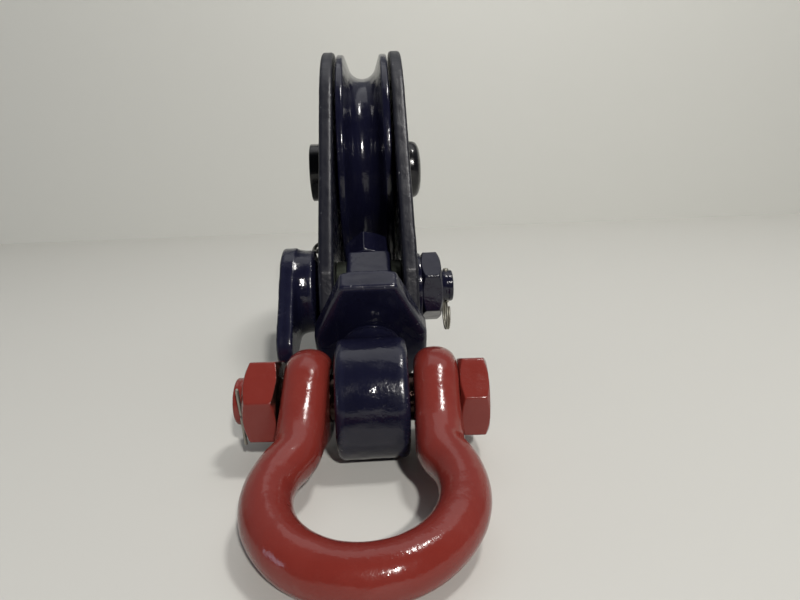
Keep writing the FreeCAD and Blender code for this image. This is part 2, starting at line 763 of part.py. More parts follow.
clip_place = f"({nut_outer} + stub_length / 2)"
yoke()
spacer_length = f"({plate_inner} - side_clearance - neck_width / 2)"
spacer_bore = "trunnion_radius + snug_clearance"
for side, spacer_start in (("right", "neck_width / 2"), ("left", f"-(neck_width / 2 + {spacer_length})")):
    spacer = f"trunnion_spacer_{side}"
    plain_ring(spacer, "trunnion", "spacer_radius", spacer_bore, spacer_start, spacer_length)
thread_bore = f"{trunnion_thread_radius} + snug_clearance"
plain_ring(
    "trunnion_washer",
    "trunnion",
    "trunnion_washer_radius",
    thread_bore,
    lug_inner,
    "trunnion_washer_thickness",
)
trunnion_nut = new_body("trunnion_nut")
hex_piece(
    trunnion_nut,
    "trunnion_nut_flats",
    washer_outer,
    "trunnion_nut_thickness",
    bore=thread_bore,
    turn="trunnion_nut_angle",
)
keep("trunnion_nut", trunnion_nut, "trunnion")


def looped_pin(node, frame, place, radius, top, foot, loop_radius, wire_radius, loop_below=True):
    """A round pin along Z at one place on X, with a wire loop on one end."""
    stem = doc.addObject("Part::Cylinder", node + "_stem")
    bind(stem, "Radius", radius)
    bind(stem, "Height", f"({top}) - ({foot})")
    bind(stem, "Placement.Base.x", place)
    bind(stem, "Placement.Base.z", foot)
    loop = doc.addObject("Part::Torus", node + "_loop")
    loop.Placement = Placement(Vector(), Rotation(Vector(0, 1, 0), 90))
    bind(loop, "Radius1", loop_radius)
    bind(loop, "Radius2", wire_radius)
    bind(loop, "Placement.Base.x", place)
    centre = f"({foot}) - ({loop_radius})" if loop_below else f"({top}) + ({loop_radius})"
    bind(loop, "Placement.Base.z", centre)
    both = doc.addObject("Part::Fuse", node)
    both.Base = stem
    both.Tool = loop
    keep(node, both, frame)


looped_pin(
    "trunnion_clip",
    "clip",
    clip_place,
    "clip_pin_radius",
    f"{stub_radius} + clip_reach",
    f"-({stub_radius} + clip_reach)",
    "clip_loop_radius",
    "clip_wire_radius",
)


# Swivel eye: a barrel for the shackle bolt, a collar under the yoke and a threaded shank
def swivel_eye():
    body = new_body("swivel_eye")
    barrel = sketch_on(body, "YZ", "barrel")
    circle(barrel, "0", "0", "barrel_radius")
    pad(body, barrel, "barrel_width", midplane=True)
    round_edges(body, "barrel_round", lambda edge: edge.BoundBox.XLength < 1e-3)
    collar = sketch_on(body, "XY", "collar", "barrel_radius - collar_root")
    circle(collar, "0", "0", "collar_radius")
    pad(body, collar, "collar_root + collar_rise")
    shank = sketch_on(body, "XY", "shank", collar_top)
    circle(shank, "0", "0", "shank_radius")
    pad(body, shank, f"{swivel_nut_base} - {collar_top}")
    thread = sketch_on(body, "XY", "thread", swivel_nut_base)
    circle(thread, "0", "0", shank_thread_radius)
    pad(body, thread, f"{shank_top} - {swivel_nut_base}")
    round_edges(body, "shank_end / 2", lies_in("Z", value(shank_top)), chamfer=True)
    bore = sketch_on(body, "YZ", "bore")
    circle(bore, "0", "0", barrel_bore_radius)
    pocket(body, bore, midplane=True)
    pocket(body, nut_pin_section(body, "swivel_pin_radius"), midplane=True)
    keep("swivel_eye", body, "block")


def nut_pin_section(body, radius):
    """The round section of the nut's cross pin, square to a flat at the right of the nut."""
    sketch = sketch_on(body, "YZ", "cross_pin")
    sketch.AttachmentOffset = Placement(Vector(), Rotation(Vector(0, 1, 0), 1))
    bind(sketch, ".AttachmentOffset.Rotation.Angle", "swivel_nut_angle - 30")
    circle(sketch, "0", swivel_pin_height, radius)
    return sketch


swivel_eye()
plain_ring(
    "swivel_collar_washer",
    "block",
    "collar_radius",
    "shank_radius + snug_clearance",
    collar_top,
    "collar_washer_thickness",
    axis="Z",
)
plain_ring(
    "swivel_nut_washer",
    "block",
    "swivel_washer_radius",
    "shank_radius + snug_clearance",
    swivel_washer_base,
    "swivel_washer_thickness",
    axis="Z",
)
swivel_nut = new_body("swivel_nut")
nut_bore = f"{shank_thread_radius} + snug_clearance"
hex_piece(
    swivel_nut,
    "swivel_nut_flats",
    swivel_nut_base,
    "swivel_nut_thickness",
    axis="Z",
    bore=nut_bore,
    turn="swivel_nut_angle",
)
pocket(swivel_nut, nut_pin_section(swivel_nut, "swivel_pin_radius"), midplane=True)
keep("swivel_nut", swivel_nut, "block")
nut_pin = new_body("swivel_nut_pin")
nut_pin_section(nut_pin, "swivel_pin_radius - snug_clearance")
pad(nut_pin, nut_pin.Group[-1], "swivel_nut_flats", midplane=True)
keep("swivel_nut_pin", nut_pin, "block")


# Shackle: a round bar swept along an omega-shaped path, with an ear at each end
def shackle_bow():
    body = new_body("shackle_bow")
    for start in (jaw_half, f"-{ear_outer}"):
        ear = sketch_on(body, "YZ", "ear", start)
        capped_strip(ear, "0", "ear_radius", "-ear_tail", "bar_radius")
        pad(body, ear, "ear_thickness")
    round_edges(body, "ear_round", lambda edge: edge.BoundBox.XLength < 1e-3)
    path = sketch_on(body, "XZ", "path")
    leg, drop = value(leg_centre), value("bow_drop")
    bend, bow = value("bow_neck_radius"), value("bow_radius")
    low = math.sqrt((bow + bend) ** 2 - (leg + bend) ** 2) - drop
    turn = math.atan2(drop + low, leg + bend)
    up = Vector(0, 0, 1)
    foot_right, foot_left = Vector(leg, low, 0), Vector(-leg, low, 0)
    neck_right = Part.Circle(Vector(leg + bend, low, 0), up, bend)
    neck_left = Part.Circle(Vector(-leg - bend, low, 0), up, bend)
    hoop = Part.Circle(Vector(0, -drop, 0), up, bow)
    run = [
        Part.LineSegment(Vector(leg, 0, 0), foot_right),
        Part.ArcOfCircle(neck_right, math.pi, math.pi + turn),
        Part.ArcOfCircle(hoop, math.pi - turn, 2 * math.pi + turn),
        Part.ArcOfCircle(neck_left, -turn, 0),
        Part.LineSegment(foot_left, Vector(-leg, 0, 0)),
    ]
    leg_a, arc_a, hoop_arc, arc_b, leg_b = [path.addGeometry(piece, False) for piece in run]
    for one, one_end, two, two_end in (
        (leg_a, 2, arc_a, 1),
        (arc_a, 2, hoop_arc, 2),
        (hoop_arc, 1, arc_b, 1),
        (arc_b, 2, leg_b, 1),
    ):
        path.addConstraint(Sketcher.Constraint("Tangent", one, one_end, two, two_end))
    pin_point(path, leg_a, 1, leg_centre, "0")
    pin_point(path, leg_b, 2, f"-({leg_centre})", "0")
    path.addConstraint(Sketcher.Constraint("Vertical", leg_a))
    path.addConstraint(Sketcher.Constraint("Vertical", leg_b))
    pin_point(path, hoop_arc, 3, "0", "-bow_drop")
    for arc, radius in ((arc_a, "bow_neck_radius"), (arc_b, "bow_neck_radius"), (hoop_arc, "bow_radius")):
        index = path.addConstraint(Sketcher.Constraint("Radius", arc, value(radius)))
        bind(path, f"Constraints[{index}]", radius)
    section = sketch_on(body, "XY", "section")
    circle(section, leg_centre, "0", "bar_radius")
    doc.recompute()
    pipe = body.newObject("PartDesign::AdditivePipe", "bar")
    pipe.Profile = section
    pipe.Spine = (path, [f"Edge{i}" for i in range(1, len(run) + 1)])
    doc.recompute()
    hole = sketch_on(body, "YZ", "bolt_hole")
    circle(hole, "0", "0", "bolt_radius + bolt_play")
    pocket(body, hole, midplane=True)
    keep("shackle_bow", body, "shackle")


def shackle_bolt():
    body = new_body("shackle_bolt")
    shaft = sketch_on(body, "YZ", "shaft", f"-{bolt_end}")
    circle(shaft, "0", "0", "bolt_radius")
    pad(body, shaft, f"{bolt_end} + {ear_outer}")
    round_edges(body, "bolt_end_round", lies_in("X", -value(bolt_end)))
    hex_piece(body, "bolt_head_flats", ear_outer, "bolt_head_thickness")
    hole = sketch_on(body, "XY", "cotter_hole")
    circle(hole, f"-{cotter_place}", "0", "cotter_radius + snug_clearance")
    pocket(body, hole, midplane=True)
    keep("shackle_bolt", body, "shackle")


shackle_bow()
shackle_bolt()
shackle_nut = new_body("shackle_nut")
hex_piece(
    shackle_nut,
    "bolt_nut_flats",
    f"-{bolt_nut_outer}",
    "bolt_nut_thickness",
    bore="bolt_radius + snug_clearance",
)
keep("shackle_nut", shackle_nut, "shackle")
looped_pin(
    "shackle_cotter",
    "shackle",
    f"-{cotter_place}",
    "cotter_radius",
    "bolt_radius + cotter_reach",
    "-(bolt_radius + cotter_reach)",
    "cotter_loop_radius",
    "cotter_wire_radius",
    loop_below=False,
)


# Frames: the block leans back, and the shackle lies canted on its loose bolt
def frames():
    lean = value("lean_angle")
    fall = value("barrel_radius - bar_radius")
    slope = math.degrees(math.asin(fall / value("bow_drop + bow_radius")))
    pivot = Vector(0, 0, value("barrel_radius"))
    across = Vector(1, 0, 0)
    block = Placement(pivot, Rotation(across, lean - 90))
    axle = block * Placement(Vector(0, 0, value(axle_height)), Rotation())
    trunnion = block * Placement(Vector(0, 0, value(trunnion_height)), Rotation())
    clip = trunnion * Placement(Vector(), Rotation(across, 90 - lean))
    cant = Placement(pivot, Rotation(Vector(0, 0, 1), -value("cant_angle")))
    shackle = cant * Placement(Vector(), Rotation(across, slope - 90))
    return {"block": block, "axle": axle, "trunnion": trunnion, "clip": clip, "shackle": shackle}


def place_all(placed):
    for thing, frame in parts.values():
        thing.Placement = placed[frame]
    doc.recompute()


def check_all():
    for thing in doc.Objects:
        if "Invalid" in thing.State or "Error" in thing.State:
            raise RuntimeError(f"{thing.Name} could not be made")
    for node, (thing, _) in parts.items():
        if thing.Shape.isNull() or not thing.Shape.isValid():
            raise RuntimeError(f"{node} has no sound shape")


doc.recompute()
placed = frames()
place_all(placed)
check_all()

# The middle of the footprint on the floor becomes the origin
box = FreeCAD.BoundBox()
for thing, _ in parts.values():
    box.add(thing.Shape.optimalBoundingBox(False))
shift = Placement(Vector(-box.Center.x, -box.Center.y, -box.ZMin), Rotation())
placed = {word: shift * frame for word, frame in placed.items()}
place_all(placed)
check_all()

os.makedirs("parts", exist_ok=True)
for node, (thing, _) in parts.items():
    thing.Shape.exportStep(f"parts/{node}.step")
print(len(parts), "sub-parts written")
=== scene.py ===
"""Looks of a snatch block with a swivel eye and an anchor shackle, laid down on a pale table.

Lengths are millimetres down to the stage, and become metres where a mesh is made; the stage, the
lights and the camera are in metres. Turned, six-sided, threaded, wire and swept pieces are grids
of points worked out with numpy from two parameters. The forgings and the flame-cut plates keep
their solid's own shape, which gets a fresh skin of small faces, softened edges and the low swells
of forged steel. The foot of the yoke's neck also flares out.
"""

import json
import math

import bmesh
import bpy
import numpy as np
from mathutils import Matrix, Vector


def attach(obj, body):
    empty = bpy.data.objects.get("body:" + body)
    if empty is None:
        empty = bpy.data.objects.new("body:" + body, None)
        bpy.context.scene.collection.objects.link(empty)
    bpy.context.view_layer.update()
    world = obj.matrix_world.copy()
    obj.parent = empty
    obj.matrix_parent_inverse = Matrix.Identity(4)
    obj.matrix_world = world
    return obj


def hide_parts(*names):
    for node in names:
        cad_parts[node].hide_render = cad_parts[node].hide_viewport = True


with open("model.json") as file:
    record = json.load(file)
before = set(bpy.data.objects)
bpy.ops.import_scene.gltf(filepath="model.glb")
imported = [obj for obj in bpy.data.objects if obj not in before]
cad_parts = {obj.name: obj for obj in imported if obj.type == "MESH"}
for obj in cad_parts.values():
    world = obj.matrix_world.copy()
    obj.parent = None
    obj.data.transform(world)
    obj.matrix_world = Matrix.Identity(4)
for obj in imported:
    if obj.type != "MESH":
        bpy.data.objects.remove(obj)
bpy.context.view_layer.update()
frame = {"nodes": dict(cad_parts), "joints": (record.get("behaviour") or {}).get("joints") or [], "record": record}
nodes = frame["nodes"]
record = frame["record"]
MM = 0.001


# Frames: axes systems of the part, each a 4 x 4 array that takes millimetres to metres
def axes(origin, along, up):
    """Columns: along, up x along and up, scaled to millimetres, then the origin in metres."""
    along, up = np.array(along, float), np.array(up, float)
    place = np.eye(4)
    place[:3, 0] = along * MM
    place[:3, 1] = np.cross(up, along) * MM
    place[:3, 2] = up * MM
    place[:3, 3] = origin
    return place


def joint(name):
    return next(j for j in frame["joints"] if j["name"] == name)


def mount(name):
    return next(m for m in record["mounts"] if m["name"] == name)


ACROSS = (1, 0, 0)
BLOCK_UP = joint("eye_swivel")["axis"]
BLOCK = axes(joint("eye_swivel")["pos_m"], ACROSS, BLOCK_UP)
TRUNNION = axes(joint("yoke_tilt")["pos_m"], ACROSS, BLOCK_UP)
AXLE = axes(joint("sheave_spin")["pos_m"], ACROSS, BLOCK_UP)
PLUMB = axes(joint("yoke_tilt")["pos_m"], ACROSS, (0, 0, 1))
SHANK = axes(joint("eye_swivel")["pos_m"], BLOCK_UP, [-c for c in ACROSS])
SHACKLE_UP = [-c for c in mount("shackle_bow")["axis"]]
SHACKLE = axes(joint("shackle_swing")["pos_m"], joint("shackle_swing")["axis"], SHACKLE_UP)


def points_of(mesh):
    flat = np.empty(len(mesh.vertices) * 3, np.float32)
    mesh.vertices.foreach_get("co", flat)
    return flat.reshape(-1, 3).astype(float)


def in_frame(points, place):
    """Points of the part, in metres, as millimetres along the axes of one frame."""
    return (points - place[:3, 3]) @ np.linalg.inv(place[:3, :3]).T


def on_part(points, place):
    """Points in a frame's millimetres as points of the part, in metres."""
    return points @ place[:3, :3].T + place[:3, 3]


def reach_of(node, place):
    """Start, end, smallest and largest radius of a node along and round a frame's X axis."""
    local = in_frame(points_of(nodes[node].data), place)
    radius = np.hypot(local[:, 1], local[:, 2])
    return local[:, 0].min(), local[:, 0].max(), radius.min(), radius.max()


# Materials
def linear(code):
    """A hex code of sRGB as linear red, green, blue and 1."""
    steps = [int(code[i:i + 2], 16) / 255 for i in (1, 3, 5)]
    return [s / 12.92 if s <= 0.04045 else ((s + 0.055) / 1.055) ** 2.4 for s in steps] + [1.0]


def add(tree, kind, links=None, **settings):
    """One node: its settings by name, then its sockets by name, each a value or an output."""
    node = tree.nodes.new("ShaderNode" + kind)
    for name, value in settings.items():
        setattr(node, name, value)
    for name, value in (links or {}).items():
        socket = node.inputs[name]
        if isinstance(value, bpy.types.NodeSocket):
            tree.links.new(value, socket)
        else:
            socket.default_value = value
    return node


def new_material(name):
    material = bpy.data.materials.new(name)
    material.use_nodes = True
    tree = material.node_tree
    tree.nodes.clear()
    return material, tree


def per_metre(size):
    """The scale at which one cell of a pattern is this many millimetres wide."""
    return 1 / (size * MM)


# Enamel: cells of its patterns and heights of its relief, both in millimetres
CLOUD, FILM, FLAKE, SAG, ORANGE, SPECK = 26, 9, 2.6, 11, 1.7, 3.1
SAG_HEIGHT, SPECK_HEIGHT = 0.5, 0.05
# How much of its cell a speck fills
SPECK_SHARE = 0.22
# Where on the film's noise dust settles, and how much of it shows
DUST_FROM, DUST_TO, DUST_SHARE = 0.56, 0.78, 0.3
# How high crest times flake is where chips begin, and where they are whole
CHIP_FROM, CHIP_TO = 0.67, 0.70
# Roughness that the film's noise adds over its middle stretch, and that a full crest adds on top
FILM_LOW, FILM_HIGH, FILM_DULLING, CREST_DULLING = 0.3, 0.75, 0.12, 0.12
BARE_METALLIC = 0.85
ENAMEL_IOR = 1.46


def enamel(name, body, thin, dust, steel, roughness, peel):
    """Enamel brushed and dipped on steel: sags, orange peel and specks that break up lights.

    body, thin, dust and steel are the hex codes of the full coat, of a thin coat over a sharp
    edge, of settled dust, and of the metal where the coat is chipped or was never laid on.
    roughness is that of the coat where it is smoothest, and peel the height of its orange peel.
    """
    material, tree = new_material(name)
    place = add(tree, "TexCoord").outputs["Object"]
    crest = add(tree, "Attribute", attribute_name="crest").outputs["Fac"]
    bare = add(tree, "Attribute", attribute_name="bare").outputs["Fac"]
    cloud = add(tree, "TexNoise", {"Vector": place, "Scale": per_metre(CLOUD), "Detail": 3.0})
    film = add(
        tree, "TexNoise", {"Vector": place, "Scale": per_metre(FILM), "Detail": 6.0, "Roughness": 0.7}
    )
    flake = add(
        tree, "TexNoise", {"Vector": place, "Scale": per_metre(FLAKE), "Detail": 4.0, "Roughness": 0.6}
    )
    # A brushed coat is thin on crests and pools in hollows
    pulled = add(tree, "Math", {0: cloud.outputs["Fac"], 1: crest}, operation="ADD", use_clamp=True)
    shade = add(tree, "Mix", {0: pulled.outputs[0], 6: linear(body), 7: linear(thin)}, data_type="RGBA")
    dusty = add(
        tree, "MapRange", {0: film.outputs["Fac"], 1: DUST_FROM, 2: DUST_TO, 3: 0.0, 4: DUST_SHARE}
    )
    veiled = add(
        tree, "Mix", {0: dusty.outputs[0], 6: shade.outputs[2], 7: linear(dust)}, data_type="RGBA"
    )
    # Knocks take the coat off where a crest and a flake of noise meet
    knock = add(tree, "Math", {0: crest, 1: flake.outputs["Fac"]}, operation="MULTIPLY")
    chipped = add(tree, "MapRange", {0: knock.outputs[0], 1: CHIP_FROM, 2: CHIP_TO, 3: 0.0, 4: 1.0})
    lost = add(tree, "Math", {0: chipped.outputs[0], 1: bare}, operation="MAXIMUM", use_clamp=True)
    colour = add(
        tree, "Mix", {0: lost.outputs[0], 6: veiled.outputs[2], 7: linear(steel)}, data_type="RGBA"
    )
    dullest = roughness + FILM_DULLING
    gloss = add(
        tree,
        "MapRange",
        {0: film.outputs["Fac"], 1: FILM_LOW, 2: FILM_HIGH, 3: roughness, 4: dullest},
    )
    # Pulled thin over an edge, the coat has lost some of its shine
    dulled = add(
        tree, "Math", {0: crest, 1: CREST_DULLING, 2: gloss.outputs[0]}, operation="MULTIPLY_ADD"
    )
    metal = add(tree, "Math", {0: bare, 1: BARE_METALLIC}, operation="MULTIPLY")
    sags = add(tree, "TexNoise", {"Vector": place, "Scale": per_metre(SAG), "Detail": 1.5})
    orange = add(tree, "TexNoise", {"Vector": place, "Scale": per_metre(ORANGE), "Detail": 2.0})
    grit = add(tree, "TexVoronoi", {"Vector": place, "Scale": per_metre(SPECK)})
    speck = add(
        tree, "MapRange", {0: grit.outputs["Distance"], 1: 0.0, 2: SPECK_SHARE, 3: 1.0, 4: 0.0}
    )
    heights = (sags.outputs["Fac"], orange.outputs["Fac"], speck.outputs[0])
    relief = None
    for height, depth in zip(heights, (SAG_HEIGHT, peel, SPECK_HEIGHT)):
        links = {"Height": height, "Strength": 1.0, "Distance": depth * MM}
        if relief:
            links["Normal"] = relief.outputs[0]
        relief = add(tree, "Bump", links)
    shader = add(
        tree,
        "BsdfPrincipled",
        {
            "Base Color": colour.outputs[2],
            "Metallic": metal.outputs[0],
            "Roughness": dulled.outputs[0],
            "IOR": ENAMEL_IOR,
            "Normal": relief.outputs[0],
        },
    )
    add(tree, "OutputMaterial", {"Surface": shader.outputs[0]})
    return material


# Soft metal: what its haze does to the roughness over its middle stretch, and its height
HAZE_LOW, HAZE_HIGH, HAZE_DULLING = 0.3, 0.7, 0.22
HAZE_HEIGHT = 0.03


def soft_metal(name, bright, dull, grain, roughness):
    """Bare, plated or turned metal with hazy spots and fine grain; grain is in millimetres."""
    material, tree = new_material(name)
    place = add(tree, "TexCoord").outputs["Object"]
    haze = add(tree, "TexNoise", {"Vector": place, "Scale": per_metre(grain), "Detail": 5.0})
    cloud = haze.outputs["Fac"]
    colour = add(tree, "Mix", {0: cloud, 6: linear(bright), 7: linear(dull)}, data_type="RGBA")
    dullest = roughness + HAZE_DULLING
    rough = add(tree, "MapRange", {0: cloud, 1: HAZE_LOW, 2: HAZE_HIGH, 3: roughness, 4: dullest})
    bump = add(tree, "Bump", {"Height": cloud, "Strength": 1.0, "Distance": HAZE_HEIGHT * MM})
    shader = add(
        tree,
        "BsdfPrincipled",
        {
            "Base Color": colour.outputs[2],
            "Roughness": rough.outputs[0],
            "Metallic": 1.0,
            "Normal": bump.outputs[0],
        },
    )
    add(tree, "OutputMaterial", {"Surface": shader.outputs[0]})
    return material


# Alkyd enamel brushed over forged steel: a deep, wet-looking coat with broken lights
NAVY = enamel("navy_gloss_enamel", "#0C0C1D", "#17182B", "#34343E", "#8A8B90", 0.08, 0.10)
BLACK = enamel("black_gloss_enamel", "#0B0B0F", "#131318", "#2C2C2F", "#8A8B90", 0.16, 0.06)
# On the flame-cut plates the navy coat lies thin over a rough skin and has gone half matt
WORN_NAVY = enamel("navy_satin_enamel", "#080813", "#0F101B", "#22222B", "#8A8B90", 0.22, 0.12)
# The same gloss on the shackle, in red: deep in the hollows and paler on the crests
RED = enamel("red_gloss_enamel", "#72251E", "#7E332D", "#84483F", "#3A2B26", 0.10, 0.08)
# Zinc plate on drawn wire, gone dull in the air, and bearing bronze with oil on it
ZINC = soft_metal("dull_zinc_plate", "#B4B2A7", "#85837A", 5, 0.42)
BRONZE = soft_metal("turned_bearing_bronze", "#B98B4A", "#8C6531", 3, 0.24)
# Spacer tube: bare steel that has gone dark and greenish under old grease
GREASED = soft_metal("greased_steel_tube", "#3C3F38", "#272A23", 6, 0.42)

FINISHES = {
    "navy_enamel": NAVY,
    "black_enamel": BLACK,
    "red_enamel": RED,
    "zinc_plate": ZINC,
    "bearing_bronze": BRONZE,
}
SLOT_OF = {row["node"]: row["material_slot"] for row in record["subparts"]}
BODY_OF = {node: body for body, group in record["behaviour"]["bodies"].items() for node in group}
for node, slot in SLOT_OF.items():
    for socket in nodes[node].material_slots:
        socket.material = FINISHES[slot]


# Meshes
LATTICE = 32
MERGE = 0.002


def swell(points, cell, seed):
    """Smooth noise from -1 to 1 at points in metres, with cells of that many millimetres.

    Random numbers at the corners of a cubic lattice are blended by 3 t^2 - 2 t^3 along each axis.
    """
    table = np.random.default_rng(seed).uniform(-1, 1, (LATTICE,) * 3)
    scaled = points / (cell * MM)
    base = np.floor(scaled).astype(int)
    t = scaled - base
    t = t * t * (3 - 2 * t)
    total = np.zeros(len(points))
    for corner in np.ndindex(2, 2, 2):
        weight = np.prod(np.where(corner, t, 1 - t), axis=1)
        total += weight * table[tuple(((base + corner) % LATTICE).T)]
    return total


def set_points(mesh, points):
    mesh.vertices.foreach_set("co", points.astype(np.float32).ravel())
    mesh.update()


def roughen(mesh, waves, seed):
    """Moves each point along its normal by the sum of depth times noise, for pairs (cell, depth)."""
    points = points_of(mesh)
    flat = np.empty(points.size, np.float32)
    mesh.vertices.foreach_get("normal", flat)
    height = sum(depth * swell(points, cell, seed + i) for i, (cell, depth) in enumerate(waves))
    set_points(mesh, points + flat.reshape(-1, 3) * (height * MM)[:, None])


def add_attribute(mesh, name, numbers):
    """One number per point, which the enamel reads: crest or bare, from 0 to 1."""
    layer = mesh.attributes.new(name, "FLOAT", "POINT")
    layer.data.foreach_set("value", numbers.astype(np.float32))


def finished(name, mesh, node, material=None):
    """The mesh as a piece that stands for a node, on its body.

    It has the finish of the node's slot, or another material where one is given.
    """
    mesh.materials.clear()
    mesh.materials.append(material or FINISHES[SLOT_OF[node]])
    piece = bpy.data.objects.new(name, mesh)
    bpy.context.scene.collection.objects.link(piece)
    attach(piece, BODY_OF[node])
    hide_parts(node)
    return piece


def skin(name, grid, place, looped=False, crease=38):
    """A closed surface through a grid of points, in which each row is a ring closed on itself.

    Four-sided faces join each ring to the next. A ring that has shrunk to a point closes an end,
    and a looped grid joins its last ring to its first. Edges sharper than crease stay sharp.
    """
    rows, ring = grid.shape[:2]
    points = on_part(grid.reshape(-1, 3), place)
    start = np.arange(rows if looped else rows - 1)[:, None] * ring
    here = np.arange(ring)[None, :]
    beside = (here + 1) % ring
    after = (start + ring) % (rows * ring)
    faces = np.stack([start + here, start + beside, after + beside, after + here], -1).reshape(-1, 4)
    mesh = bpy.data.meshes.new(name)
    mesh.from_pydata(points.tolist(), [], faces.tolist())
    shell = bmesh.new()
    shell.from_mesh(mesh)
    bmesh.ops.remove_doubles(shell, verts=shell.verts, dist=MERGE * MM)
    bmesh.ops.recalc_face_normals(shell, faces=shell.faces)
    shell.to_mesh(mesh)
    shell.free()
    mesh.shade_smooth()
    mesh.set_sharp_from_angle(angle=math.radians(crease))
    return mesh


def eased(corners, reach, steps=5):
    """An outline through corners, each cut back by reach and bridged by a quadratic curve.

    A bridge is (1 - t)^2 a + 2 t (1 - t) corner + t^2 b, with a and b on the corner's two sides.
    """
    corners = np.array(corners, float)
    before, corner, after = corners[:-2], corners[1:-1], corners[2:]

    def towards(target):
        away = target - corner
        length = np.linalg.norm(away, axis=1, keepdims=True)
        return corner + away / length * np.minimum(reach, 0.45 * length)

    t = np.linspace(0, 1, steps)[None, :, None]
    a, b = towards(before)[:, None], towards(after)[:, None]
    bridges = (1 - t) ** 2 * a + 2 * t * (1 - t) * corner[:, None] + t ** 2 * b
    return np.concatenate([corners[:1], bridges.reshape(-1, corners.shape[1]), corners[-1:]])


def finer(line, step):
    """The same line with extra points, so that no two lie further apart than step."""
    length = np.concatenate([[0], np.cumsum(np.linalg.norm(np.diff(line, axis=0), axis=1))])
    stops = np.union1d(length, np.arange(0, length[-1], step))
    return np.stack([np.interp(stops, length, column) for column in line.T], -1)


def turned(profile, ring=144):
    """Pairs (x, radius) carried round the X axis: y = radius cos a, z = radius sin a."""
    angle = np.linspace(0, 2 * np.pi, ring, endpoint=False)
    x, radius = profile.T[:, :, None]
    return np.stack(np.broadcast_arrays(x, radius * np.cos(angle), radius * np.sin(angle)), -1)


def ring_profile(start, end, bore, radius, edge):
    """The closed outline of a washer or tube, with eased corners, as pairs (x, radius)."""
    middle = (start + end) / 2
    sides = [(start, bore), (start, radius), (end, radius), (end, bore)]
    return eased([(middle, bore), *sides, (middle, bore)], edge, 4)[:-1]


# Plain turned rings: each takes its size from its node
RING_EDGE = 0.5
for node, place, material in (
    ("sheave_bush", AXLE, None),
    ("thrust_washer_right", AXLE, None),
    ("thrust_washer_left", AXLE, None),
    ("trunnion_spacer_right", TRUNNION, GREASED),
    ("trunnion_spacer_left", TRUNNION, GREASED),
    ("trunnion_washer", TRUNNION, None),
    ("swivel_collar_washer", SHANK, NAVY),
    ("swivel_nut_washer", SHANK, NAVY),
):
    outline = ring_profile(*reach_of(node, place), RING_EDGE)
    finished(f"{node}_ring", skin(f"{node}_ring", turned(outline), place, looped=True), node, material)


# Sheave: the hub, the web and a rim with a round-bottomed groove, turned and then painted
SHEAVE_HALF = 21.0
HUB_BORE, SHEAVE_RADIUS = reach_of("sheave", AXLE)[2:]
HUB_WALL = 11.0
HUB_RADIUS = HUB_BORE + HUB_WALL
WEB_HALF = 7.0
GROOVE_BEND = 12.0
GROOVE_DEPTH = 20.0
GROOVE_FLOOR = SHEAVE_RADIUS - GROOVE_DEPTH
RIM_THICK = 12.0
RIM_INSIDE = GROOVE_FLOOR - RIM_THICK
RIM_SHOULDER = 11.0
RIM_LAND = 5.7
FLANK_EDGE = 1.8
TURNED_STEP = 2.0
SHEAVE_WAVES = ((16, 0.10), (5, 0.03))


def sheave_profile():
    """One flank from the bore to the rim, the groove's arc, then the flank mirrored.

    The groove's wall runs from the rim's corner to where it touches the circle of its bottom.
    """
    flank = [
        (0, HUB_BORE),
        (SHEAVE_HALF, HUB_BORE),
        (SHEAVE_HALF, HUB_RADIUS),
        (WEB_HALF, HUB_RADIUS + WEB_HALF),
        (WEB_HALF, RIM_INSIDE),
        (SHEAVE_HALF, RIM_INSIDE + RIM_SHOULDER),
        (SHEAVE_HALF, SHEAVE_RADIUS),
        (SHEAVE_HALF - RIM_LAND, SHEAVE_RADIUS),
    ]
    centre = GROOVE_FLOOR + GROOVE_BEND
    corner = np.array(flank[-1]) - (0, centre)
    touch = math.atan2(corner[1], corner[0]) - math.acos(GROOVE_BEND / math.hypot(*corner))
    angle = np.linspace(touch, -np.pi / 2, 28)
    arc = np.stack([GROOVE_BEND * np.cos(angle), centre + GROOVE_BEND * np.sin(angle)], -1)
    flank = eased(flank + [tuple(arc[0])], FLANK_EDGE, 7)
    half = finer(np.concatenate([flank, arc]), TURNED_STEP)
    return np.concatenate([half, (half * (-1, 1))[-2:0:-1]])


sheave_mesh = skin("sheave_wheel", turned(sheave_profile(), 320), AXLE, looped=True)
roughen(sheave_mesh, SHEAVE_WAVES, 11)
finished("sheave_wheel", sheave_mesh, "sheave")


# Centre pin: a flat head with a greasing hole at the left, and a dome nut at the right
pin_start, pin_end, _, pin_head = reach_of("centre_pin", AXLE)
nut_start, nut_end, thread_radius, _ = reach_of("centre_pin_dome_nut", AXLE)
PIN_RADIUS = 19.0
HEAD_THICK = 16.5
GREASE_HOLE = 8.0
GREASE_DEPTH = 7.0
GREASE_FLOOR = pin_start + GREASE_DEPTH
PIN_EDGE = 0.9
PIN_WAVES = ((9, 0.08), (3, 0.03))
pin_profile = eased(
    [
        (GREASE_FLOOR, 0),
        (GREASE_FLOOR, GREASE_HOLE),
        (pin_start, GREASE_HOLE),
        (pin_start, pin_head),
        (pin_start + HEAD_THICK, pin_head),
        (pin_start + HEAD_THICK, PIN_RADIUS),
        (nut_start, PIN_RADIUS),
        (nut_start, thread_radius),
        (pin_end, thread_radius),
        (pin_end, 0),
    ],
    PIN_EDGE,
    6,
)
pin_mesh = skin("centre_pin_turned", turned(finer(pin_profile, TURNED_STEP)), AXLE)
roughen(pin_mesh, PIN_WAVES, 21)
finished("centre_pin_turned", pin_mesh, "centre_pin")

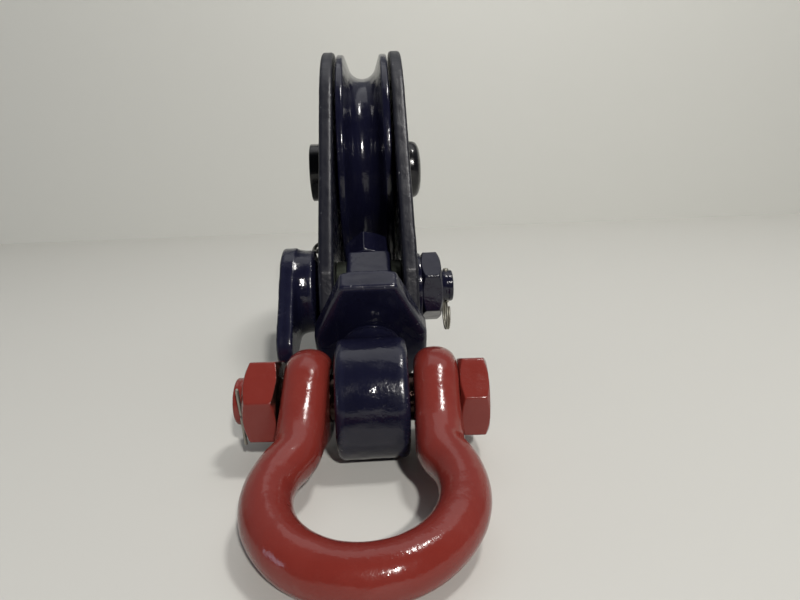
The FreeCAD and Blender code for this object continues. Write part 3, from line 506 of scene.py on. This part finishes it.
DOME_GAP = 0.1
DOME_FLOOR = pin_end + DOME_GAP
DOME_HEIGHT = 4.5
DOME_FLAT = 0.6
DOME_FLAT_SHARE = 0.66
DOME_EDGES = np.array([0.5, 0.5, 0.8, 6.0, 8.0])[:, None]
dome_profile = eased(
    [
        (DOME_FLOOR, 0),
        (DOME_FLOOR, thread_radius),
        (nut_start, thread_radius),
        (nut_start, pin_head),
        (nut_end - DOME_HEIGHT, pin_head),
        (nut_end - DOME_FLAT, pin_head * DOME_FLAT_SHARE),
        (nut_end, 0),
    ],
    DOME_EDGES,
    9,
)
dome_mesh = skin("dome_nut_turned", turned(finer(dome_profile, TURNED_STEP)), AXLE)
roughen(dome_mesh, PIN_WAVES, 31)
finished("dome_nut_turned", dome_mesh, "centre_pin_dome_nut")


# Six-sided pieces
CHAMFER_SLOPE = math.tan(math.radians(30))
CHAMFER_INSET = 0.7
CHAMFER_SOFTNESS = 90
BORE_LIP = 0.6
NUT_WAVES = ((11, 0.09), (3.5, 0.03))


def hexagonal(start, end, flats, bore, turn, ring=312, sharpness=64):
    """A six-sided nut along X, with its corners turned off at both ends and a round bore.

    Its side is flats / 2 divided by (sum of |cos(a - k)|^p)^(1 / p) over the three flats' directions
    k, with the sharpness p. The corner cone is flats / 2 - inset + distance from the face / slope.
    The smaller of the two radii is taken softly, as (side^-q + cone^-q)^(-1 / q). turn is the angle
    in degrees from the Y axis to a corner. A bore of 0 gives a solid head.
    """
    angle = np.linspace(0, 2 * np.pi, ring, endpoint=False)
    flat_turns = np.radians(turn + 30 + np.array([0, 60, 120]))[:, None]
    side = flats / 2 / (np.abs(np.cos(angle - flat_turns)) ** sharpness).sum(0) ** (1 / sharpness)
    inner = flats / 2 - CHAMFER_INSET
    fall = (flats / math.sqrt(3) - inner) * CHAMFER_SLOPE
    # Rings crowd towards each face, over the stretch where the corners are turned off
    near = fall * 1.15 * np.linspace(0, 1, 18) ** 1.2
    middle = np.linspace(start + near[-1], end - near[-1], 8)[1:-1]
    x = np.concatenate([start + near, middle, end - near[::-1]])
    cone = inner + np.minimum(x - start, end - x) / CHAMFER_SLOPE
    soft = CHAMFER_SOFTNESS
    radius = (side[None] ** -soft + cone[:, None] ** -soft) ** (-1 / soft)
    share = np.linspace(0, 1, 12)[:-1, None]
    lip = bore + BORE_LIP if bore else 0.0
    face_in = lip + (radius[:1] - lip) * share
    face_out = (lip + (radius[-1:] - lip) * share)[::-1]
    rows = np.concatenate([face_in, radius, face_out])
    along = np.concatenate([np.full(len(share), start), x, np.full(len(share), end)])
    if bore:
        wall = np.full((3, ring), bore)
        rows = np.concatenate([rows, wall])
        along = np.concatenate([along, [end - BORE_LIP, (start + end) / 2, start + BORE_LIP]])
    along = np.broadcast_to(along[:, None], rows.shape)
    return np.stack([along, rows * np.cos(angle), rows * np.sin(angle)], -1)


def six_sided(name, node, place, grid, looped, seed, waves=NUT_WAVES):
    mesh = skin(name, grid, place, looped)
    roughen(mesh, waves, seed)
    return finished(name, mesh, node)


TRUNNION_NUT_FLATS = 43.5
TRUNNION_NUT_TURN = 32.0
SWIVEL_NUT_FLATS = 32.0
SWIVEL_NUT_TURN = -11.0
SWIVEL_NUT_WAVES = ((9, 0.22), (3.5, 0.10))
start, trunnion_nut_end, bore, _ = reach_of("trunnion_nut", TRUNNION)
six_sided(
    "trunnion_nut_forged", "trunnion_nut", TRUNNION,
    hexagonal(start, trunnion_nut_end, TRUNNION_NUT_FLATS, bore, TRUNNION_NUT_TURN), True, 41,
)
start, end, bore, _ = reach_of("swivel_nut", SHANK)
six_sided(
    "swivel_nut_forged", "swivel_nut", SHANK,
    hexagonal(start, end, SWIVEL_NUT_FLATS, bore, SWIVEL_NUT_TURN), True, 42, SWIVEL_NUT_WAVES,
)


# Shackle bolt: a head, a shaft and a threaded end, on which the nut leaves a bare stretch
BOLT_RADIUS = 14.0
BOLT_HEAD_FLATS = 44.0
BOLT_NUT_FLATS = 46.0
BOLT_NUT_PLAY = 0.02
BOLT_PITCH = 3.2
PAINTED_THREAD = 0.16
BARE_THREAD = 1.3
EAR_OUT = 50.75
LEG_INSIDE = 24.25
SHAFT_END = EAR_OUT + 1.0
CAP_RINGS = 10
bolt_start, bolt_end = reach_of("shackle_bolt", SHACKLE)[:2]
nut_out, nut_in = reach_of("shackle_nut", SHACKLE)[:2]


def threaded(start, end, radius, pitch, depth, ring=144, ease=1.4):
    """A threaded end along X: radius - depth (1 + cos(2 pi x / pitch - a)) / 2, its start eased.

    depth is a function of x, so a thread can be full where it is bare and faint under paint. The
    start is closed by rings that shrink towards the axis.
    """
    x = np.arange(start, end, pitch / 10)[:, None]
    angle = np.linspace(0, 2 * np.pi, ring, endpoint=False)[None]
    cut = depth(x) * (0.5 + 0.5 * np.cos(2 * np.pi * x / pitch - angle))
    inset = np.clip(1 - (x - start) / ease, 0, 1)
    rows = radius - cut - ease * (1 - np.sqrt(1 - inset ** 2))
    cap = rows[:1] * np.linspace(0, 0.96, CAP_RINGS)[:, None]
    along = np.concatenate([np.full(CAP_RINGS, start), x[:, 0]])
    rows = np.concatenate([cap, rows])
    along = np.broadcast_to(along[:, None], rows.shape)
    return np.stack([along, rows * np.cos(angle), rows * np.sin(angle)], -1)


def shut(grid, x):
    """The grid with one more ring, shrunk to a point on the axis, to close its far end."""
    point = np.zeros_like(grid[:1])
    point[..., 0] = x
    return np.concatenate([grid, point])


def bolt_thread(x):
    """Nearly full of paint outside the nut, and bare and sharp between the nut and the ear."""
    return np.where(x < nut_out, PAINTED_THREAD, np.where(x < -EAR_OUT, BARE_THREAD, 0.0))


bolt_mesh = skin(
    "shackle_bolt_shaft",
    shut(threaded(bolt_start, SHAFT_END, BOLT_RADIUS, BOLT_PITCH, bolt_thread), SHAFT_END),
    SHACKLE,
    crease=60,
)
along = in_frame(points_of(bolt_mesh), SHACKLE)[:, 0]
in_jaw = np.abs(along) < LEG_INSIDE
under_nut = (along > nut_out + 1) & (along < 0.5 - EAR_OUT)
add_attribute(bolt_mesh, "bare", in_jaw | under_nut)
finished("shackle_bolt_shaft", bolt_mesh, "shackle_bolt")
six_sided(
    "shackle_bolt_head", "shackle_bolt", SHACKLE,
    hexagonal(EAR_OUT, bolt_end, BOLT_HEAD_FLATS, 0, 0), False, 51,
)
nut_mesh = six_sided(
    "shackle_nut_forged", "shackle_nut", SHACKLE,
    hexagonal(nut_out, nut_in, BOLT_NUT_FLATS, BOLT_RADIUS + BOLT_NUT_PLAY, 0), True, 52,
).data
# The brush never reached the nut's inner face and the cone of its corners there
BRUSH_WANDER = 0.5
BARE_MARGIN = 0.6
BARE_BLEND = 0.5
CONE_REACH = 6
FACE_REACH = 0.25
local = in_frame(points_of(nut_mesh), SHACKLE)
nut_rim = BOLT_NUT_FLATS / 2 - CHAMFER_INSET + (nut_in - local[:, 0]) / CHAMFER_SLOPE
wander = BRUSH_WANDER * swell(points_of(nut_mesh), 5, 53)
past_rim = np.hypot(local[:, 1], local[:, 2]) - nut_rim + wander
bare_cone = np.clip((past_rim + BARE_MARGIN) / BARE_BLEND, 0, 1)
bare_cone *= local[:, 0] > nut_in - CONE_REACH
add_attribute(nut_mesh, "bare", np.maximum(bare_cone, local[:, 0] > nut_in - FACE_REACH))


# Wires: a round section carried along a path
def swept(path, radius, across, ring=20, looped=False):
    """Rings of a radius round each point of a path that lies nearly in a plane.

    across is the plane's normal. A ring is path + radius (side cos a + up sin a), where side is
    tangent x across, and up is side x tangent. Open ends are rounded: there the radius shrinks as
    the square root of 1 - (1 - distance / radius)^2.
    """
    if looped:
        tangent = np.roll(path, -1, 0) - np.roll(path, 1, 0)
        size = np.full(len(path), radius)
    else:
        tangent = np.gradient(path, axis=0)
        length = np.concatenate([[0], np.cumsum(np.linalg.norm(np.diff(path, axis=0), axis=1))])
        end = np.clip(np.minimum(length, length[-1] - length) / radius, 0, 1)
        size = radius * np.sqrt(1 - (1 - end) ** 2)
    tangent /= np.linalg.norm(tangent, axis=1, keepdims=True)
    side = np.cross(tangent, across)
    side /= np.linalg.norm(side, axis=1, keepdims=True)
    up = np.cross(side, tangent)
    angle = np.linspace(0, 2 * np.pi, ring, endpoint=False)[None, :, None]
    rim = side[:, None] * np.cos(angle) + up[:, None] * np.sin(angle)
    return path[:, None] + size[:, None, None] * rim


def hoop(centre, radius, turns=1.0, drift=0.0, count=96):
    """A ring, or an open coil, round the X axis; the coil drifts along X by drift in each turn."""
    angle = np.linspace(0, 2 * np.pi * turns, count, endpoint=turns != 1.0)
    x = centre[0] + drift * (angle / (2 * np.pi) - turns / 2)
    y = centre[1] + radius * np.sin(angle)
    z = centre[2] + radius * np.cos(angle)
    return np.stack([x, y, z], -1)


def wire_pin(start, end, radius, edge):
    """The outline of a plain pin along X with eased ends, as pairs (x, radius)."""
    return eased([(start, 0), (start, radius), (end, radius), (end, 0)], edge, 5)


# Split ring and pin through the end of the right trunnion
clip_x = in_frame(points_of(nodes["trunnion_clip"].data), PLUMB)[:, 0]
CLIP_X = (clip_x.min() + clip_x.max()) / 2
CLIP_PIN = 2.0
CLIP_HALF = 12.6
CLIP_LOOP = 10.0
CLIP_WIRE = 0.78
CLIP_TURNS = 1.9
CLIP_DRIFT = 1.5
CLIP_OVERLAP = 0.6
clip_pin = wire_pin(-CLIP_HALF, CLIP_HALF, CLIP_PIN, edge=0.8)
UPRIGHT = axes(on_part(np.array([CLIP_X, 0, 0]), PLUMB), (0, 0, 1), [-c for c in ACROSS])
finished("trunnion_clip_pin", skin("trunnion_clip_pin", turned(clip_pin, 32), UPRIGHT), "trunnion_clip")
clip_centre = (CLIP_X, 0, -CLIP_HALF - CLIP_LOOP + CLIP_OVERLAP)
clip_path = hoop(clip_centre, CLIP_LOOP, CLIP_TURNS, CLIP_DRIFT, 220)
clip_ring = skin("trunnion_clip_ring", swept(clip_path, CLIP_WIRE, ACROSS), PLUMB)
finished("trunnion_clip_ring", clip_ring, "trunnion_clip")

# Keeper in the swing plate: a pin with an eye of bent wire
keeper = in_frame(points_of(nodes["plate_keeper"].data), BLOCK)
keeper_low, keeper_high = keeper.min(0), keeper.max(0)
KEEPER_WIRE = 1.3
KEEPER_LOOP = (keeper_high[1] - keeper_low[1]) / 2 - KEEPER_WIRE
KEEPER_PIN = 1.98
KEEPER_TURN = 32.0
KEEPER_EYE_X = -37.2
keeper_y = (keeper_low[1] + keeper_high[1]) / 2
keeper_z = keeper_high[2] - 2 * KEEPER_LOOP - KEEPER_WIRE
keeper_pin = wire_pin(keeper_low[0], keeper_high[0], KEEPER_PIN, edge=0.7)
KEEPER = axes(on_part(np.array([0, keeper_y, keeper_z]), BLOCK), ACROSS, BLOCK_UP)
finished("plate_keeper_pin", skin("plate_keeper_pin", turned(keeper_pin, 32), KEEPER), "plate_keeper")
# The eye stands on the pin's end, turned about the block's Z axis to face half forwards
turn = math.radians(KEEPER_TURN)
eye_normal = math.sin(turn) * np.array(ACROSS) + math.cos(turn) * np.cross(BLOCK_UP, ACROSS)
keeper_centre = np.array([KEEPER_EYE_X, keeper_y, keeper_z + KEEPER_LOOP])
EYE_FACE = axes(on_part(keeper_centre, BLOCK), eye_normal, BLOCK_UP)
keeper_wire = swept(hoop((0, 0, 0), KEEPER_LOOP), KEEPER_WIRE, ACROSS, looped=True)
keeper_eye = skin("plate_keeper_eye", keeper_wire, EYE_FACE, looped=True)
finished("plate_keeper_eye", keeper_eye, "plate_keeper")

# Split cotter through the bolt: an eye at the top, two legs, and their ends bent out flat below
cotter = in_frame(points_of(nodes["shackle_cotter"].data), SHACKLE)
COTTER_X = (cotter[:, 0].min() + cotter[:, 0].max()) / 2
COTTER_WIRE = 1.0
COTTER_BEND = 1.4
WIRE_STEP = 0.35
LEG_APART = 0.85
LEG_END = 19.5
LEG_TOP = BOLT_RADIUS + 1.0
LEFT_TIP, LEFT_KNEE = 0.8, 1.6
RIGHT_TIP, RIGHT_KNEE = 1.0, 1.4
EYE_FOOT = BOLT_RADIUS + 3.0
EYE_RADIUS = 2.6
EYE_GAP = 0.28 * math.pi
foot = cotter[:, 2].min()
arc = np.linspace(EYE_GAP - np.pi, np.pi - EYE_GAP, 30)
eye_centre = EYE_FOOT + EYE_RADIUS * math.cos(EYE_GAP)
eye_arc = np.stack([0 * arc, EYE_RADIUS * np.sin(arc), eye_centre + EYE_RADIUS * np.cos(arc)], -1)
leg_left = [(0, -LEG_END, foot + LEFT_TIP), (0, -LEG_APART, foot + LEFT_KNEE), (0, -LEG_APART, LEG_TOP)]
leg_right = [(0, LEG_APART, LEG_TOP), (0, LEG_APART, foot + RIGHT_KNEE), (0, LEG_END, foot + RIGHT_TIP)]
cotter_path = finer(eased(leg_left + eye_arc.tolist() + leg_right, COTTER_BEND, 9), WIRE_STEP)
COTTER = SHACKLE.copy()
COTTER[:3, 3] = on_part(np.array([COTTER_X, 0, 0]), SHACKLE)
cotter_mesh = skin("shackle_cotter_wire", swept(cotter_path, COTTER_WIRE, ACROSS, 16), COTTER)
finished("shackle_cotter_wire", cotter_mesh, "shackle_cotter")


# Grease nipple: a six-sided foot and a ball-ended tip
nipple_start, nipple_end, _, nipple_corner = reach_of("grease_nipple", AXLE)
NIPPLE_HEX = 2.5
NIPPLE_WAVES = ((4, 0.02),)
TIP_MOUTH = 1.5
TIP_BALL = 2.6
TIP_NECK = 1.7
hex_start = nipple_end - NIPPLE_HEX
nipple_hex = hexagonal(hex_start, nipple_end, nipple_corner * math.sqrt(3), 0, 0, ring=120, sharpness=48)
six_sided("grease_nipple_foot", "grease_nipple", AXLE, nipple_hex, False, 61, NIPPLE_WAVES)
tip_profile = eased(
    [
        (nipple_start, 0),
        (nipple_start, TIP_MOUTH),
        (nipple_start + 0.9, TIP_BALL),
        (nipple_start + 2.0, TIP_BALL - 0.2),
        (nipple_start + 2.7, TIP_NECK),
        (hex_start + 0.2, TIP_BALL),
        (hex_start + 0.2, 0),
    ],
    0.5,
    6,
)
finished("grease_nipple_tip", skin("grease_nipple_tip", turned(tip_profile, 48), AXLE), "grease_nipple")


# Shackle bow: one swept body from the pole of one ear to the pole of the other
LEG_CENTRE = 37.5
BAR = 12.7
EAR = 30.0
EAR_HALF = 13.25
EAR_TAIL = 40.0
NECK = 23.0
HOOP = 47.0
DROP = 80.0
taper = math.asin((EAR - BAR) / EAR_TAIL)
neck_foot = math.sqrt((HOOP + NECK) ** 2 - (LEG_CENTRE + NECK) ** 2) - DROP
neck_turn = math.atan2(DROP + neck_foot, LEG_CENTRE + NECK)
SWEEP_STEP = 1.25
TAPER_BLEND = 3.0
EAR_SQUARENESS = 0.35
BOW_WAVES = ((30, 0.35), (11, 0.14), (4, 0.04))
BOLT_PLAY = 0.3


def bow_half_path():
    """Right half of the bow's middle line, from the ear's pole to the crown, in the XZ plane.

    Straight down the ear and leg, an arc outwards about the neck's centre, then the hoop. The
    origin is on the bolt's axis, midway between the ears.
    """
    ear = np.linspace(0, np.pi / 2, 26)
    leg = np.arange(0, -neck_foot, SWEEP_STEP)
    outward = np.arange(0, neck_turn, SWEEP_STEP / NECK)
    round_hoop = np.linspace(neck_turn, -np.pi / 2, int(HOOP * (neck_turn + np.pi / 2) / SWEEP_STEP))
    x = np.concatenate([
        np.full(len(ear) + len(leg) - 1, LEG_CENTRE),
        LEG_CENTRE + NECK - NECK * np.cos(outward),
        HOOP * np.cos(round_hoop),
    ])
    z = np.concatenate([
        EAR * np.cos(ear[:-1]),
        -leg,
        neck_foot - NECK * np.sin(outward),
        -DROP + HOOP * np.sin(round_hoop),
    ])
    return np.stack([x, np.zeros(len(x)), z], -1)


def bow_grid(ring=96):
    """Rings across the path: y = depth cos a, and to the side +-sqrt(T^2 - (T - d)^2).

    z is the distance along the path, counted down from the ear's pole as the height over the bolt.
    depth is the ear's round outline above, its tangent sides below and the bar's radius further
    on, joined softly. d is the distance from the outline, up to the half thickness T.
    """
    half = bow_half_path()
    path = np.concatenate([half, (half * (-1, 1, 1))[-2::-1]])
    tangent = np.gradient(path, axis=0)
    on_leg = path[:, 2] > neck_foot
    tangent[on_leg] = np.where(path[on_leg, :1] > 0, 1, -1) * (0, 0, -1)
    tangent /= np.linalg.norm(tangent, axis=1, keepdims=True)
    side = np.cross(tangent, (0, 1, 0))
    run = np.concatenate([[0], np.cumsum(np.linalg.norm(np.diff(path, axis=0), axis=1))])
    z = EAR - np.minimum(run, run[-1] - run)
    round_part = np.sqrt(np.clip(EAR ** 2 - z ** 2, 0, None))
    sloped = (EAR + z * math.sin(taper)) / math.cos(taper)
    outline = np.where(z > -EAR * math.sin(taper), round_part, sloped)
    swollen = BAR + TAPER_BLEND * np.logaddexp(0, (outline - BAR) / TAPER_BLEND)
    depth = np.where(z > 0, round_part, swollen)[:, None]
    share = np.clip((depth - BAR) / (EAR - BAR), 0, 1)
    thick = np.where(z[:, None] > 0, EAR_HALF, BAR + (EAR_HALF - BAR) * share)
    angle = np.linspace(0, 2 * np.pi, ring, endpoint=False)[None]
    y = depth * np.cos(angle)
    level = np.clip(z / (EAR * math.sin(taper)) + 1, 0, 1)[:, None]
    level = level * level * (3 - 2 * level)
    from_round = EAR - np.hypot(y, z[:, None])
    from_side = (depth - np.abs(y)) * (1 - (1 - math.cos(taper)) * share ** 0.5)
    inside = np.clip(level * from_round + (1 - level) * from_side, 0, thick)
    # A nearly square shoulder on the ears, and a full round on the bar
    squareness = 1 + EAR_SQUARENESS * np.where(z[:, None] > 0, 1, share)
    spread = thick * (1 - (1 - inside / thick) ** (2 * squareness)) ** 0.5
    sideways = np.where(np.sin(angle) >= 0, 1, -1) * spread
    grid = path[:, None] + sideways[..., None] * side[:, None]
    grid[..., 1] = y
    return grid


def cut_round(piece, place, radius, half):
    """A round hole along the frame's X axis, cut through a piece from -half to half."""
    outline = np.array([(-half, 0), (-half, radius), (half, radius), (half, 0)], float)
    drill = bpy.data.objects.new("drill", skin("drill", turned(outline, 96), place))
    bpy.context.scene.collection.objects.link(drill)
    cut = piece.modifiers.new("hole", "BOOLEAN")
    cut.operation = "DIFFERENCE"
    cut.solver = "EXACT"
    cut.object = drill
    evaluated = piece.evaluated_get(bpy.context.evaluated_depsgraph_get())
    drilled = bpy.data.meshes.new_from_object(evaluated)
    piece.modifiers.clear()
    piece.data = drilled
    bpy.data.objects.remove(drill)


bow_mesh = skin("shackle_bow_forged", bow_grid(), SHACKLE, crease=60)
roughen(bow_mesh, BOW_WAVES, 71)
bow = finished("shackle_bow_forged", bow_mesh, "shackle_bow")
cut_round(bow, SHACKLE, BOLT_RADIUS + BOLT_PLAY, EAR_OUT + 5)


# Forgings and flame-cut plates: the solid's own shape under a fresh skin
SMOOTH_IN, SMOOTH_OUT = 0.5, -0.52
CREST_ROUNDS = 14
CREST_FULL = 0.45
FILLET_REACH = 6


def neighbour_mean(points, edges, count):
    """The mean of each point's neighbours along the mesh's edges."""
    a, b = edges.T
    size = len(points)
    total = [np.bincount(a, axis[b], size) + np.bincount(b, axis[a], size) for axis in points.T]
    return np.stack(total, -1) / count[:, None]


def proudness(mesh, points, edges, count, rounds):
    """Normals, and how far each point stands out from the shape after rounds of averaging."""
    flat = np.empty(points.size, np.float32)
    mesh.vertices.foreach_get("normal", flat)
    normals = flat.reshape(-1, 3)
    melted = points
    for _ in range(rounds):
        melted = neighbour_mean(melted, edges, count)
    return normals, ((points - melted) * normals).sum(1)


# Foot of the yoke's neck: it flares out to the flange's depth, and runs on inside the flange
FOOT_TOP = 89.0
FOOT_HEIGHT = 32.0
NECK_DEPTH = 17.0
NECK_WIDTH = 15.2
FOOT_FLARE = 34.2
FOOT_WIDENING = 3.0
FLARE_POWER = 1.3
FOOT_SQUARENESS = 8
FOOT_RUN = 1.25


def flared_foot():
    """A flared foot for the yoke's neck, as rings round the block's Z axis.

    A ring is |x / width|^n + |y / depth|^n = 1, with the squareness n. depth is that of the neck +
    flare s^1.3, width is that of the neck + widening s^3, and both are half measures. s goes from
    0 at the top of the foot past 1 at the flange's edge.
    """
    s = np.linspace(0, FOOT_RUN, 48)[:, None]
    angle = np.linspace(0, 2 * np.pi, 120, endpoint=False)
    depth = NECK_DEPTH + FOOT_FLARE * s ** FLARE_POWER
    width = NECK_WIDTH + FOOT_WIDENING * s ** 3
    power = 2 / FOOT_SQUARENESS
    depth = depth.clip(0, NECK_DEPTH + FOOT_FLARE)
    y = depth * np.sign(np.sin(angle)) * np.abs(np.sin(angle)) ** power
    x = width * np.sign(np.cos(angle)) * np.abs(np.cos(angle)) ** power
    z = np.broadcast_to(FOOT_TOP - FOOT_HEIGHT * s, x.shape)
    rings = np.stack([x, y, z], -1)
    cap, foot = rings[:1] * (0, 0, 1), rings[-1:] * (0, 0, 1)
    return np.concatenate([cap, rings, foot])


def forging(node, skin_step, rounds, waves, seed, fillet_rounds=0, extra=None, material=None):
    """A copy of the solid with an even skin of small faces, softened, filleted and swollen.

    extra is a closed mesh that becomes one body with the solid. Each round moves a point towards
    its neighbours' mean and then a little further back, which takes off edges and steps but keeps
    the size. The fillet rounds then fill hollow corners. crest is how far a point stands out from
    the same shape smoothed much more: 1 on sharp edges, 0 on flats and in hollows.
    """
    solid = bpy.data.objects.new(f"{node}_solid", nodes[node].data.copy())
    bpy.context.scene.collection.objects.link(solid)
    shell = bmesh.new()
    shell.from_mesh(solid.data)
    bmesh.ops.remove_doubles(shell, verts=shell.verts, dist=MERGE * MM)
    if extra:
        shell.from_mesh(extra)
    shell.to_mesh(solid.data)
    shell.free()
    fresh = solid.modifiers.new("skin", "REMESH")
    fresh.mode = "VOXEL"
    fresh.voxel_size = skin_step * MM
    mesh = bpy.data.meshes.new_from_object(solid.evaluated_get(bpy.context.evaluated_depsgraph_get()))
    bpy.data.objects.remove(solid)
    mesh.name = f"{node}_forged"
    edges = np.empty(len(mesh.edges) * 2, np.int32)
    mesh.edges.foreach_get("vertices", edges)
    edges = edges.reshape(-1, 2)
    count = np.bincount(edges.ravel(), minlength=len(mesh.vertices))
    points = points_of(mesh)
    for _ in range(rounds):
        for share in (SMOOTH_IN, SMOOTH_OUT):
            points += share * (neighbour_mean(points, edges, count) - points)
    set_points(mesh, points)
    for _ in range(fillet_rounds):
        # A hollow's mean lies outside it, so filling up to the mean again and again makes a fillet
        normals, proud = proudness(mesh, points, edges, count, FILLET_REACH)
        points += normals * np.clip(-proud, 0, None)[:, None]
        set_points(mesh, points)
    proud = proudness(mesh, points, edges, count, CREST_ROUNDS)[1] / MM
    add_attribute(mesh, "crest", np.clip(proud / CREST_FULL, 0, 1))
    roughen(mesh, waves, seed)
    mesh.shade_smooth()
    return finished(f"{node}_forged", mesh, node, material)


YOKE_WAVES = ((14, 0.28), (5, 0.12), (2.2, 0.03))
EYE_WAVES = ((13, 0.22), (5, 0.09), (2.2, 0.03))
PLATE_WAVES = ((20, 0.16), (6, 0.08))
foot_mesh = skin("neck_foot", flared_foot(), BLOCK)
forging("yoke", 1.0, 14, YOKE_WAVES, 81, fillet_rounds=12, extra=foot_mesh)
forging("swivel_eye", 0.95, 14, EYE_WAVES, 82, fillet_rounds=4)
for node, seed in (("fixed_side_plate", 83), ("swing_side_plate", 84)):
    forging(node, 1.2, 3, PLATE_WAVES, seed, material=WORN_NAVY)

# Threaded end of the right trunnion, under paint, as a sleeve over the yoke's own plain end
STUB_RADIUS = 11.25
STUB_PITCH = 2.5
STUB_THREAD = 0.14
FLIPPED = axes(joint("yoke_tilt")["pos_m"], [-c for c in ACROSS], BLOCK_UP)
stub_tip, stub_root = -reach_of("yoke", TRUNNION)[1], 1.0 - trunnion_nut_end
stub = threaded(stub_tip, stub_root, STUB_RADIUS, STUB_PITCH, lambda x: STUB_THREAD)
finished("trunnion_thread", skin("trunnion_thread", shut(stub, stub_root), FLIPPED, crease=60), "yoke")


# Stage: a pale table that meets a pale wall. From here on, lengths are metres
TABLE_Z = 0.0
WALL_Y = 0.895
WALL_TOP = 0.75
LEFT, RIGHT, FRONT = -4.0, 4.0, -4.0


def stage_material(name, code):
    """Matt painted board: plain colour with the faintest sheen."""
    material, tree = new_material(name)
    shader = add(tree, "BsdfPrincipled", {"Base Color": linear(code), "Roughness": 0.55})
    add(tree, "OutputMaterial", {"Surface": shader.outputs[0]})
    return material


def flat_board(name, corners, material):
    mesh = bpy.data.meshes.new(name)
    mesh.from_pydata(corners, [], [(0, 1, 2, 3)])
    mesh.materials.append(material)
    board = bpy.data.objects.new(name, mesh)
    bpy.context.scene.collection.objects.link(board)


front_edge = [(LEFT, FRONT, TABLE_Z), (RIGHT, FRONT, TABLE_Z)]
meeting = [(LEFT, WALL_Y, TABLE_Z), (RIGHT, WALL_Y, TABLE_Z)]
wall_top = [(LEFT, WALL_Y, WALL_TOP), (RIGHT, WALL_Y, WALL_TOP)]
flat_board("table", front_edge + meeting[::-1], stage_material("pale_table", "#D0D0CB"))
flat_board("wall", meeting + wall_top[::-1], stage_material("pale_wall", "#D2D3CE"))


# Lights: one small lamp in front, one overhead, a wide soft ceiling and a weak window
MIDDLE = Vector((0.0, 0.0, 0.08))


def area_light(name, place, width, height, watts, colour):
    """A rectangular lamp that shines on the middle of the block."""
    lamp = bpy.data.lights.new(name, "AREA")
    lamp.shape = "RECTANGLE"
    lamp.size, lamp.size_y = width, height
    lamp.energy = watts
    lamp.color = linear(colour)[:3]
    light = bpy.data.objects.new(name, lamp)
    bpy.context.scene.collection.objects.link(light)
    light.location = place
    light.rotation_euler = (MIDDLE - light.location).to_track_quat("-Z", "Y").to_euler()


area_light("lamp", (0.62, -2.3, 1.74), 0.14, 0.14, 57.0, "#FFFBF6")
area_light("overhead_lamp", (0.6, -0.05, 1.95), 0.26, 0.26, 14.0, "#FFFCF8")
area_light("ceiling", (0.25, 0.5, 1.8), 1.8, 1.0, 4.2, "#FFFFFF")
area_light("window", (-1.9, -0.75, 0.35), 0.5, 0.35, 1.6, "#DCE6FF")

# World: a dim room in front of the block and a pale one behind it
DIM_FROM, PALE_FROM = -0.3, 0.45
ROOM_STRENGTH = 0.5
world = bpy.data.worlds.new("room")
world.use_nodes = True
sky = world.node_tree
bearing = add(sky, "TexCoord").outputs["Generated"]
depth_of_room = add(sky, "SeparateXYZ", {0: bearing}).outputs["Y"]
behind = add(sky, "MapRange", {0: depth_of_room, 1: DIM_FROM, 2: PALE_FROM, 3: 0.0, 4: 1.0})
room = add(
    sky, "Mix", {0: behind.outputs[0], 6: linear("#3A3B40"), 7: linear("#B4B6BA")}, data_type="RGBA"
)
background = sky.nodes["Background"]
sky.links.new(room.outputs[2], background.inputs["Color"])
background.inputs["Strength"].default_value = ROOM_STRENGTH
bpy.context.scene.world = world
bpy.context.scene.view_settings.view_transform = "Standard"

# Camera, fitted to the photograph's view of the shackle bolt, the pin heads and the plates
CAMERA_FROM_EYE = Vector((0.0057, -0.3333, 0.1462))
CAMERA_YAW, CAMERA_DOWN, CAMERA_ROLL = 2.14, 14.57, -1.91
CAMERA_LENS = 27.0
SENSOR = 36.0
camera_data = bpy.data.cameras.new("camera")
camera_data.lens = CAMERA_LENS
camera_data.sensor_width = SENSOR
camera_data.clip_start = 0.01
camera = bpy.data.objects.new("camera", camera_data)
bpy.context.scene.collection.objects.link(camera)
camera.matrix_world = (
    Matrix.Translation(Vector(joint("eye_swivel")["pos_m"]) + CAMERA_FROM_EYE)
    @ Matrix.Rotation(math.radians(-CAMERA_YAW), 4, "Z")
    @ Matrix.Rotation(math.radians(90 - CAMERA_DOWN), 4, "X")
    @ Matrix.Rotation(math.radians(CAMERA_ROLL), 4, "Z")
)
bpy.context.scene.camera = camera
